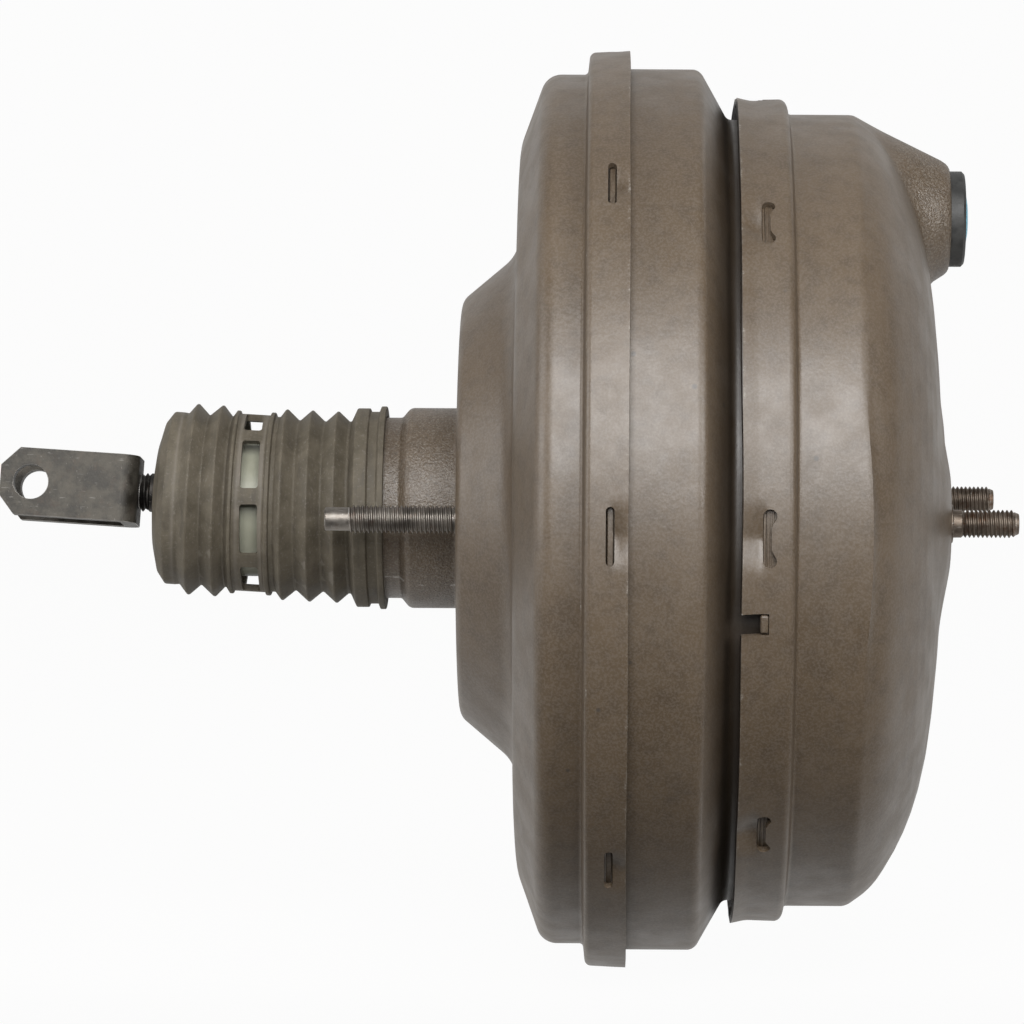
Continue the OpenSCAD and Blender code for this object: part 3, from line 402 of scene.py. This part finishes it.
def make(name, verts, faces, material, angle=32.0, body=None):
    """A mesh object from script coordinates in mm; edges sharper than angle degrees stay sharp."""
    mesh = bpy.data.meshes.new(name)
    verts = (np.asarray(verts, float) - (DATUM, 0, 0)) * MM
    mesh.from_pydata(verts.tolist(), [], faces if isinstance(faces, list) else faces.tolist())
    mesh.validate()
    obj = bpy.data.objects.new(name, mesh)
    scene.collection.objects.link(obj)
    finish_mesh(obj, material, angle)
    if body:
        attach(obj, body)
    return obj


def finish_mesh(obj, material, angle=32.0):
    mesh = obj.data
    mesh.materials.clear()
    mesh.materials.append(material)
    mesh.polygons.foreach_set("use_smooth", [True] * len(mesh.polygons))
    mesh.set_sharp_from_angle(angle=math.radians(angle))
    mesh.update()


def torus_faces(n, m):
    """Quads of a closed loop of m points swept through n closed steps."""
    k, i = np.meshgrid(np.arange(n), np.arange(m), indexing="ij")
    k2, i2 = (k + 1) % n, (i + 1) % m
    return np.stack([k * m + i, k * m + i2, k2 * m + i2, k2 * m + i], -1).reshape(-1, 4)


def sweep(loop, n, place):
    """A closed (x, r) loop turned about the axis, each point set by place(x, r, angle)."""
    a = np.arange(n) * 2 * math.pi / n
    x, r = loop[None, :, 0] + 0 * a[:, None], loop[None, :, 1] + 0 * a[:, None]
    p = place(x, r, a[:, None] + 0 * x)
    return np.stack(p, -1).reshape(-1, 3), torus_faces(n, len(loop))


def outward(mesh):
    """Weld the mesh and turn its faces outward, as the boolean needs."""
    b = bmesh.new()
    b.from_mesh(mesh)
    bmesh.ops.remove_doubles(b, verts=b.verts, dist=1e-7)
    bmesh.ops.recalc_face_normals(b, faces=b.faces)
    b.to_mesh(mesh)
    b.free()


def boolean(obj, cutters):
    """Cut the cutters out of the object, then remove them."""
    outward(obj.data)
    outward(cutters.data)
    mod = obj.modifiers.new("cut", "BOOLEAN")
    mod.operation = "DIFFERENCE"
    mod.object = cutters
    mod.solver = "MANIFOLD"
    dg = bpy.context.evaluated_depsgraph_get()
    mesh = bpy.data.meshes.new_from_object(obj.evaluated_get(dg))
    obj.modifiers.clear()
    obj.data = mesh
    bpy.data.objects.remove(cutters)


def prism_faces(m):
    """Faces of a closed prism between two outlines of m points."""
    faces = [list(range(m)), list(range(2 * m - 1, m - 1, -1))]
    return faces + [[i, i + m, (i + 1) % m + m, (i + 1) % m] for i in range(m)]


def prism(outline, r0, r1, turn):
    """A closed prism through the band: outline is (x, s) with s along the band at -Y, turned about X."""
    c, s = math.cos(turn), math.sin(turn)
    verts = []
    for r in (r0, r1):
        for px, ps in outline:
            y, z = -r, ps
            verts.append((px, y * c - z * s, y * s + z * c))
    return verts, prism_faces(len(outline))


def join(parts):
    verts, faces, base = [], [], 0
    for v, f in parts:
        verts += list(v)
        faces += [[i + base for i in q] for q in f]
        base += len(v)
    return verts, faces


def smooth_max(a, b, k):
    """The larger of two heights, blended over a difference of k."""
    h = np.maximum(k - np.abs(a - b), 0) / k
    return np.maximum(a, b) + h * h * k / 4


def step_between(v, lo, hi):
    """A smooth step from 0 at lo to 1 at hi."""
    t = np.clip((v - lo) / (hi - lo), 0, 1)
    return t * t * (3 - 2 * t)


def wave(a, seed, terms):
    """A smooth periodic wobble round the axis, about 1 high."""
    rng = random.Random(seed)
    out = 0
    for k in range(2, 2 + terms):
        out = out + math.cos(rng.uniform(0, 6.28)) * np.cos(k * a + rng.uniform(0, 6.28)) / terms ** 0.5
    return out


def copied(node, name):
    """A free copy of a CAD node's mesh."""
    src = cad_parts[node]
    obj = bpy.data.objects.new(name, src.data.copy())
    obj.matrix_world = src.matrix_world.copy()
    scene.collection.objects.link(obj)
    bpy.context.view_layer.update()
    return obj


# ---------------------------------------------------------------- shells
ROUND = 540           # points round a shell
SHEET = 1.8           # mm

LANCES = 8            # dents and slots of a clinched band
LANCE_STEP = 2 * math.pi / LANCES
REAR_TURN, FRONT_TURN = math.radians(-1.1), math.radians(-0.55)
REAR_EDGE, REAR_SLOT = 50.4, 45.5       # x of the first band's free edge and slots
FRONT_EDGE, FRONT_SLOT = 81.2, 88.0     # x of the second band's
SLOT_HALF, SLOT_HALF_WIDTH = 8.0, 1.2


def lance(x, r, a, edge, slot, depth, half, turn):
    """How far a band is pressed in beside its slots."""
    s = ((a - math.pi - turn + LANCE_STEP / 2) % LANCE_STEP - LANCE_STEP / 2) * r
    u = np.sqrt((s / half) ** 2 + 0.0012) - 0.035      # rounds the bottom of the V
    dent = np.clip(1 - u, 0, 1)
    dent = dent * dent * (3 - 2 * dent) * 0.2 + dent * dent * 0.5 + dent * 0.3
    side = 1 if edge > slot else -1
    v = (x - slot) * side / abs(edge - slot)
    along = step_between(v, 0.02, 0.2) * (1 - 0.42 * step_between(v, 0.2, 1.02))
    return -depth * dent * along


def shell(name, corners, place, cutters, node, angle=30):
    """A sheet housing swept from its outer line, with slots cut through it."""
    outer = densify(rounded(corners), 1.1)
    inner = beside(outer, -SHEET)
    inner = inner[::2] if len(inner) % 2 else np.vstack([inner[::2], inner[-1:]])
    loop = np.vstack([outer, inner[::-1]])
    verts, faces = sweep(loop, ROUND, place)
    obj = make(name, verts, faces, PAINT, angle)
    if cutters:
        boolean(obj, make(name + "_cut", *join(cutters), PAINT))
        finish_mesh(obj, PAINT, angle)
    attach(obj, "housing")
    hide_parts(node)
    return obj


def polar(x, r, a):
    return x, r * np.cos(a), r * np.sin(a)


rear_corners = [
    (-28, 22.6), (-28, 26.6, 2.3), (-16, 26.6, 1.2), (-13.6, 29.5, 2.5), (1.5, 29.5, 2), (1.5, 61.2, 5),
    (18, 75.1, 11), (18.65, 107, 15), (26.15, 127.6, 6), (38.0, 127.6, 1.2), (38.7, 134, 1.9), (50.4, 134.6)]


def place_rear(x, r, a):
    band = step_between(x, 38.6, 40.0)
    dr = lance(x, r, a, REAR_EDGE, REAR_SLOT, 2.6, 9.4, REAR_TURN) * band
    flare = step_between(x, 46.5, REAR_EDGE) * (0.10 + 0.16 * wave(a, 3, 7))
    wall = step_between(r, 70, 100) * step_between(-r, -128, -110) * 0.18 * wave(a, 5, 5)
    dx = wall + step_between(x, 48.5, REAR_EDGE) * 0.22 * wave(a, 8, 9)
    return polar(x + dx, r + dr + flare, a)


def stadium(x0, half_len, half_w, seg=6):
    """A slot with round ends."""
    pts = []
    for first, c in ((0, half_len - half_w), (math.pi, -half_len + half_w)):
        for k in range(seg + 1):
            t = first + math.pi * k / seg
            pts.append((x0 + half_w * math.cos(t), c + half_w * math.sin(t)))
    return pts


def dog_bone(x0, half_len, half_w, knob):
    """Straight towards the free edge (-X), with knobs at its ends towards +X."""
    pts = []
    middle = half_len - knob
    for first, c in ((-50, middle), (180, -middle)):
        for k in range(9):
            t = math.radians(first + 230 * k / 8)
            pts.append((x0 + 0.75 + knob * math.cos(t), c + knob * math.sin(t)))
    pts.append((x0 + half_w, -middle + knob * 1.6))
    pts.append((x0 + half_w, middle - knob * 1.6))
    return pts


rear_slot = stadium(REAR_SLOT, SLOT_HALF, SLOT_HALF_WIDTH)
rear_cuts = [prism(rear_slot, 128.6, 139, REAR_TURN + i * LANCE_STEP) for i in range(LANCES)]
shell("rear_shell_skin", rear_corners, place_rear, rear_cuts, "rear_shell")

mid_corners = [
    (44.3, 131.8), (44.3, 129.3, 1.2), (70.5, 129.3, 3.6), (78.7, 114.8, 2.4), (87.8, 114.8, 1.2),
    (87.8, 118.4)]


def place_mid(x, r, a):
    dx = step_between(x, 66, 72) * step_between(-x, -80, -74) * 0.25 * wave(a, 11, 5)
    dr = 0.12 * wave(a, 12, 5) * step_between(-r, -129.4, -128)
    return polar(x + dx, r + dr, a)


shell("mid_housing_skin", mid_corners, place_mid, None, "mid_housing")

BORE_R = 20.5         # the bore for the master cylinder
dome_corners = [
    (FRONT_EDGE, 121.3), (85.6, 120.5, 12), (95.6, 120.8, 2.3), (96.4, 116.3, 1.2),
    (114.7, 116.3, 5), (122, 111.2, 23), (131.9, 95.8, 75), (137.1, 76.4, 105), (141.2, 40.7, 280),
    (141.2, BORE_R, 3.0), (132.2, BORE_R)]
dome_line = densify(rounded(dome_corners), 0.5)
on_dome = dome_line[(dome_line[:, 0] > 114) & (dome_line[:, 1] > 24)]
dome_r, dome_at = on_dome[::-1, 1], on_dome[::-1, 0]


BOSS_TOP, BOSS_TOP_R, BOSS_SLOPE = 144.0, 16, 0.485
PAD_TOP = 142.3


def boss_height(y, z):
    """The cone of the vacuum port, flat on top."""
    rho = np.hypot(y, z - BOSS_Z)
    cone = BOSS_TOP - (rho - BOSS_TOP_R) / BOSS_SLOPE
    face = np.full_like(rho, BOSS_TOP)
    return -smooth_max(-cone, -face, 3.2)


def pad_height(y, z):
    """The raised seat of the master cylinder, drawn out to its two studs."""
    out = np.hypot(np.maximum(np.abs(y) - 40, 0), z) - 15
    middle = np.hypot(y, z) - 30
    d = np.minimum(out, middle)
    return PAD_TOP - np.maximum(d, 0) * 0.17 - np.maximum(d, 0) ** 2 * 0.004


def place_front(x, r, a):
    band = 1 - step_between(x, 93.5, 95)
    dr = lance(x, r, a, FRONT_EDGE, FRONT_SLOT, 2.7, 9.8, FRONT_TURN) * band
    curl = step_between(-x, -84.8, -FRONT_EDGE) * (0.12 + 0.30 * wave(a, 21, 9))
    dx = step_between(-x, -83.6, -FRONT_EDGE) * 0.28 * wave(a, 23, 11) * (r > 110)
    y, z = r * np.cos(a), r * np.sin(a)
    base = np.interp(r, dome_r, dome_at)
    top = smooth_max(base, pad_height(y, z), 1.6)
    top = smooth_max(top, boss_height(y, z), 4.0)
    lift = (top - base) * step_between(x, 108, 113) * step_between(r, 20.6, 23.5)
    return polar(x + dx + lift, r + dr + curl, a)


front_slot = dog_bone(FRONT_SLOT, SLOT_HALF, SLOT_HALF_WIDTH, 1.9)
front_cuts = [prism(front_slot, 116.0, 125, FRONT_TURN + i * LANCE_STEP) for i in range(LANCES)]
KEY_TURN = math.radians(10.7)
notch = [(80, -3.0), (88.7, -3.0), (88.7, 3.0), (80, 3.0)]
front_cuts.append(prism(notch, 116.0, 125, KEY_TURN))
shell("front_shell_skin", dome_corners, place_front, front_cuts, "front_shell")


def liner(name, x0, x1, r):
    """A ring under a band, the clinched edge that shows in its slots."""
    loop = densify(rounded([(x0, r - 1.5), (x0, r, 0.25), (x1, r, 0.25), (x1, r - 1.5)]), 1.0)
    verts, faces = sweep(loop, 360, polar)
    obj = make(name, verts, faces, PAINT, 40, "housing")


liner("rear_clinch_lip", 44.75, 46.35, 131.9)
liner("front_clinch_lip_a", 86.95, 87.7, 118.6)
liner("front_clinch_lip_b", 88.05, 88.8, 118.6)
liner("front_clinch_lip_c", 89.2, 89.95, 118.6)

# The key in the front band's notch
v, f = prism([(86.3, -2.55), (88.55, -2.55), (88.55, 2.55), (86.3, 2.55)], 114.5, 120.7, KEY_TURN)
key = make("notch_key", v, f, PAINT, 30, "housing")
edge = key.modifiers.new("soft_edges", "BEVEL")
edge.width = 0.0006
edge.segments = 3


# ---------------------------------------------------------------- threads
# One turn of a thread, as shares of the pitch and of the depth
THREAD_SHAPE = [(0.0, 1.0), (0.10, 1.0), (0.46, 0.0), (0.60, 0.0), (0.96, 1.0)]
M8 = (4.0, 1.25, 0.72)                  # radius, pitch and depth of thread in mm


def thread(x0, x1, r, pitch, depth, per_turn=48, lead=1.0, axis_y=0.0):
    """A screw thread as one grid, with ends that fade out over lead mm."""
    turns = int(math.ceil((x1 - x0) / pitch)) + 1
    n = turns * per_turn
    m = len(THREAD_SHAPE)
    verts, faces = [], []
    for k in range(n + 1):
        a = 2 * math.pi * k / per_turn
        start = x0 - pitch + pitch * k / per_turn
        for f, h in THREAD_SHAPE:
            x = start + f * pitch
            fade = min(1, max(0, (x - x0) / lead)) * min(1, max(0, (x1 - x) / lead))
            x = min(x1, max(x0, x))
            rr = r - depth * (1 - h * fade)
            verts.append((x, axis_y + rr * math.cos(a), rr * math.sin(a)))
    for k in range(n):
        for i in range(m - 1):
            faces.append([k * m + i, k * m + i + 1, (k + 1) * m + i + 1, (k + 1) * m + i])
        k2 = k + per_turn
        if k2 < n:
            faces.append([k * m + m - 1, k2 * m, (k2 + 1) * m, (k + 1) * m + m - 1])
    return verts, faces


def lathe(path, n=64, axis_y=0.0):
    """A line of (x, r) turned about the axis or a line beside it."""
    verts, faces = [], []
    m = len(path)
    for k in range(n):
        a = 2 * math.pi * k / n
        for x, r in path:
            verts.append((x, axis_y + r * math.cos(a), r * math.sin(a)))
    for k in range(n):
        k2 = (k + 1) % n
        for i in range(m - 1):
            faces.append([k * m + i, k * m + i + 1, k2 * m + i + 1, k2 * m + i])
    return verts, faces


BULKHEAD_STUD_Y, FRONT_STUD_Y = 44, 48
parts = []
for y in (-BULKHEAD_STUD_Y, BULKHEAD_STUD_Y):
    parts.append(thread(-29.6, 0.9, *M8, axis_y=y))
    parts.append(lathe(rounded([(-36.3, 0), (-36.3, 3.35, 0.5), (-30.3, 3.35, 0.3), (-29.2, 3.4)]), axis_y=y))
    head = [(0.6, 3.4), (0.9, 4.0), (5.8, 4.0), (5.8, 7.0), (8.2, 7.0, 0.5), (8.2, 0)]
    parts.append(lathe(rounded(head), axis_y=y))
studs = make("bulkhead_studs_cut", *join(parts), STUD, 28, "housing")
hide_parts("bulkhead_studs")

parts = []
for y in (-FRONT_STUD_Y, FRONT_STUD_Y):
    parts.append(thread(145.6, 160.9, *M8, axis_y=y))
    parts.append(lathe(rounded([(160.5, 3.4), (161.8, 2.9, 0.3), (161.8, 0)]), axis_y=y))
    head = [(134.5, 0), (134.5, 7.0, 0.4), (136.8, 7.0), (136.8, 4.0), (142.0, 4.0), (142.0, 5.6),
            (142.9, 5.5, 0.3), (143.1, 4.0), (145.4, 3.95), (146.0, 3.4)]
    parts.append(lathe(rounded(head), axis_y=y))
front_studs = make("cylinder_studs_cut", *join(parts), FRONT_STUD, 28, "housing")
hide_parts("cylinder_studs")


# ---------------------------------------------------------------- boot
BALL = -24.0          # x of the rod's ball
TILT = math.radians(3.5)                # of the rod at rest
LEAN_START, LEAN_LENGTH, RIM_LIFT = -31, 58.0, 2.9


def boot_place(x, r, a):
    """The boot leans and lifts towards its end, so that its hub follows the tilted rod."""
    s = np.clip((LEAN_START - x) / LEAN_LENGTH, 0, 1)
    lean = TILT * s
    rim = RIM_LIFT * s ** 1.3
    hub = np.clip((18 - r) / 12.0, 0, 1)
    lift = rim + hub * ((BALL - x) * math.tan(TILT) - rim)
    z = r * np.sin(a)
    return x + z * np.sin(lean), r * np.cos(a), z * np.cos(lean) + lift


VALLEY_R, CREST_R = 24.9, 28.4


def folds(crests, half):
    out = []
    for c in crests:
        out += [(c + half, VALLEY_R, 0.7), (c, CREST_R, 0.55)]
    return out


def boot_part(name, outer, inner, cut=None):
    """One length of the boot, swept from its outer and inner lines, with any cuts made through it."""
    loop = np.vstack([densify(rounded(outer, 15), 1.3), densify(rounded(inner, 20), 2.5)])
    verts, faces = sweep(loop, 160, boot_place)
    obj = make(name, verts, faces, BOOT, 40)
    if cut:
        boolean(obj, make(name + "_cut", *join(cut), BOOT))
        finish_mesh(obj, BOOT, 40)
    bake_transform(obj)
    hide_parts("boot")


front_outer = (
    [(-20.6, 26.9), (-20.6, 29.9, 0.3), (-22.2, 29.9, 0.3), (-22.8, 28.3, 0.3), (-25.2, 28.3, 0.3),
     (-25.6, 29.3, 0.3), (-29.2, 29.3, 0.5)]
    + folds((-35.1, -42.9, -50.7), 3.9)
    + [(-52.6, 25.8, 0.5), (-53.8, 25.8, 0.3), (-54.1, 27, 0.3), (-55.2, 27, 0.3), (-55.5, 26.1, 0.2),
       (-56.0, 26.1)])
front_inner = [
    (-56.0, 24.1), (-53.6, 23.4), (-50.7, 26.2, 0.6), (-46.8, 22.9, 0.6), (-42.9, 26.2, 0.6),
    (-39, 22.9, 0.6), (-35.1, 26.2, 0.6), (-31.2, 22.9, 0.5), (-28.6, 22.9), (-28.6, 26.9)]
ring_outer = [(-56.0, 26.1), (-63.4, 26.1)]
ring_inner = [(-63.4, 24.1), (-56.0, 24.1)]
rear_outer = [
    (-63.4, 26.1), (-64.5, 26.1, 0.2), (-64.8, 27, 0.25), (-65.6, 27, 0.25), (-67.0, VALLEY_R, 0.5),
    (-70.0, CREST_R, 0.55), (-74.0, VALLEY_R, 0.6), (-77.6, CREST_R, 0.55), (-80.2, 25.2, 0.6),
    (-81.6, 25.4)]
rear_inner = [
    (-81.6, 23.4), (-80.4, 23.2), (-77.6, 26.2, 0.6), (-74.0, 22.9, 0.6), (-70.0, 26.2, 0.6),
    (-66.6, 22.9), (-63.4, 24.1)]
cap_outer = [(-81.6, 25.4), (-84.4, 25.4, 0.8), (-86.6, 22.3, 1.5), (-88.2, 16, 6), (-89, 9, 1), (-89, 6.0)]
cap_inner = [(-86.6, 6.0), (-86.4, 16), (-84.6, 21.2), (-81.6, 23.4)]

WINDOWS = 8
WINDOW_TURN = 14                        # degrees from -Y to the first window
WINDOW_HALF, WINDOW_CORNER = 7.75, 0.9
WINDOW_X0, WINDOW_X1 = -62.2, -57.0


def window_outline():
    """A window with round corners, as (x, along the ring)."""
    out = []
    corners = ((WINDOW_X1, WINDOW_HALF, 0), (WINDOW_X0, WINDOW_HALF, 90),
               (WINDOW_X0, -WINDOW_HALF, 180), (WINDOW_X1, -WINDOW_HALF, 270))
    for cx, cs, first in corners:
        inward = -1 if cx == WINDOW_X1 else 1
        mx, ms = cx + inward * WINDOW_CORNER, cs - math.copysign(WINDOW_CORNER, cs)
        for k in range(4):
            t = math.radians(first + 30 * k)
            out.append((mx + WINDOW_CORNER * math.cos(t), ms + WINDOW_CORNER * math.sin(t)))
    return out


window_cuts = []
for i in range(WINDOWS):
    v, f = prism(window_outline(), 20, 29, math.radians(WINDOW_TURN + 360 / WINDOWS * i))
    # the ring leans and lifts with the boot
    window_cuts.append(([(x + z * 0.0175, y, z + 1.2) for x, y, z in v], f))

# The folds, ring, rear and cap; the cap's hub follows the rod's tilt
boot_part("boot_front", front_outer, front_inner)
boot_part("boot_ring", ring_outer, ring_inner, window_cuts)
boot_part("boot_rear", rear_outer, rear_inner)
boot_part("boot_cap", cap_outer, cap_inner)


# ---------------------------------------------------------------- springs copied as free meshes
def follow(node):
    """A copy of a spring's mesh, set in place of the spring."""
    obj = copied(node, node + "_soft")
    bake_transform(obj)
    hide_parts(node)


follow("return_spring")
follow("poppet_spring")
follow("rod_return_spring")


# ---------------------------------------------------------------- rod and clevis
def on_rod(verts, roll=0.0):
    """From the rod's own axes, with the ball at 0, to the script's."""
    out = []
    c, s = math.cos(roll), math.sin(roll)
    ct, st = math.cos(TILT), math.sin(TILT)
    for x, y, z in verts:
        y, z = y * c - z * s, y * s + z * c
        out.append((BALL + x * ct + z * st, y, -x * st + z * ct))
    return out


BALL_R = 6
v, f = join([
    thread(-69.5, -66.6, 5.7, 1.5, 0.8),
    lathe(rounded([(-67.1, 4.9), (-66.3, 5.7), (-33.3, 5.7), (-33.3, 4.5), (-13, 4.5), (-10, 3.7),
                   (-4.6, 3.7)])),
    lathe([(-4.899, 3.46)] + [(BALL_R * math.cos(t), BALL_R * math.sin(t))
                              for t in np.linspace(math.radians(142), 0, 24)]),
    lathe([(-73.3, 0), (-73.3, 4.2), (-72.9, 4.8), (-69.4, 4.8)]),
])
rod = make("input_rod_turned", on_rod(v), f, ROD, 30, "push_rod")
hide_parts("input_rod")

# The clevis with its ears' real chamfers
ear = [(-113, -11.6), (-103.6, -11.6), (-109.6, -4.4), (-109.6, 4.4), (-102.5, 11.6), (-113, 11.6)]
CLEVIS_ROLL = math.radians(-9)
v = on_rod([(px, side, pz) for side in (-15, 15) for px, pz in ear], CLEVIS_ROLL)
clevis = copied("clevis", "clevis_chamfered")
boolean(clevis, make("clevis_cut", v, prism_faces(len(ear)), CLEVIS))
finish_mesh(clevis, CLEVIS, 30)
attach(clevis, "push_rod")
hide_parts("clevis")
# The bevel faces take the bright edge material: a painted highlight
clevis.data.materials.append(CLEVIS_EDGE_HIGHLIGHT)
bevel = clevis.modifiers.new("soft_edges", "BEVEL")
bevel.width = 0.0004
bevel.segments = 2
bevel.material = 1
bevel.limit_method = "ANGLE"
bevel.angle_limit = math.radians(35)


# ---------------------------------------------------------------- floor and light
def stage_material():
    """White to the camera and, behind the part, to its reflections; dim in front of it."""
    m = Nodes("studio_white")
    path = m.tree.nodes.new("ShaderNodeLightPath")
    shown = m.most(path.outputs["Is Camera Ray"], path.outputs["Is Transmission Ray"])
    behind = m.ramp(m.xyz()[1], -0.105, -0.02, 0.03, 0.75)
    seen = m.most(shown, m.times(path.outputs["Is Glossy Ray"], behind))
    glow = m.add("ShaderNodeEmission", Color=rgb(1, 1, 1), Strength=1.0)
    reach = m.ramp(m.xyz()[1], -0.12, 0.0)
    bounce = m.mix(reach, rgb(0.10, 0.10, 0.10), rgb(0.62, 0.60, 0.56))
    diffuse = m.add("ShaderNodeBsdfDiffuse", Color=bounce)
    blend = m.tree.nodes.new("ShaderNodeMixShader")
    m.put(blend.inputs[0], m.times(seen, 0.96))
    m.put(blend.inputs[1], diffuse.outputs[0])
    m.put(blend.inputs[2], glow.outputs[0])
    m.tree.links.new(blend.outputs[0], m.tree.nodes["Material Output"].inputs["Surface"])
    return m.material


FLOOR_Z = -136.5
FLOOR_HALF = 4000
CURVE_Y, CURVE_R, WALL_TOP = 1400, 500, 3200
line = [(-FLOOR_HALF, FLOOR_Z)]
for k in range(13):
    t = math.radians(90 * k / 12)
    line.append((CURVE_Y + CURVE_R * math.sin(t), FLOOR_Z + CURVE_R * (1 - math.cos(t))))
line.append((CURVE_Y + CURVE_R, WALL_TOP))
verts = [(x, y, z) for y, z in line for x in (-FLOOR_HALF, FLOOR_HALF)]
faces = [[2 * i, 2 * i + 1, 2 * i + 3, 2 * i + 2] for i in range(len(line) - 1)]
floor = make("studio_floor", verts, faces, stage_material(), 60)

world = bpy.data.worlds.new("studio")
scene.world = world
world.use_nodes = True
tree = world.node_tree
background = tree.nodes["Background"]
path = tree.nodes.new("ShaderNodeLightPath")
mixer = tree.nodes.new("ShaderNodeMixShader")
white = tree.nodes.new("ShaderNodeBackground")
white.inputs[0].default_value = (1, 1, 1, 1)
background.inputs[0].default_value = (1.0, 0.95, 0.88, 1)
background.inputs[1].default_value = 0.06
tree.links.new(path.outputs["Is Camera Ray"], mixer.inputs[0])
tree.links.new(background.outputs[0], mixer.inputs[1])
tree.links.new(white.outputs[0], mixer.inputs[2])
tree.links.new(mixer.outputs[0], tree.nodes["World Output"].inputs[0])


def lamp(name, place, aim, size, power):
    """A square area lamp; places and size in metres, power in watts."""
    data = bpy.data.lights.new(name, "AREA")
    data.shape = "RECTANGLE"
    data.size = size
    data.size_y = size
    data.energy = power
    obj = bpy.data.objects.new(name, data)
    obj.location = place
    obj.rotation_mode = "QUATERNION"
    obj.rotation_quaternion = (Vector(aim) - Vector(place)).to_track_quat("-Z", "Y")
    scene.collection.objects.link(obj)


lamp("key", (0.04, -1.42, 0.76), (0.02, 0, 0), 1.0, 27)
lamp("left", (-1.4, -0.55, 0.45), (0.0, 0, 0), 1.1, 12.5)
lamp("fill", (1.1, -1.05, 0.5), (0.03, 0, 0), 0.6, 10)
lamp("top", (0.1, 0.1, 1.5), (0.03, 0, 0), 1.4, 2.4)
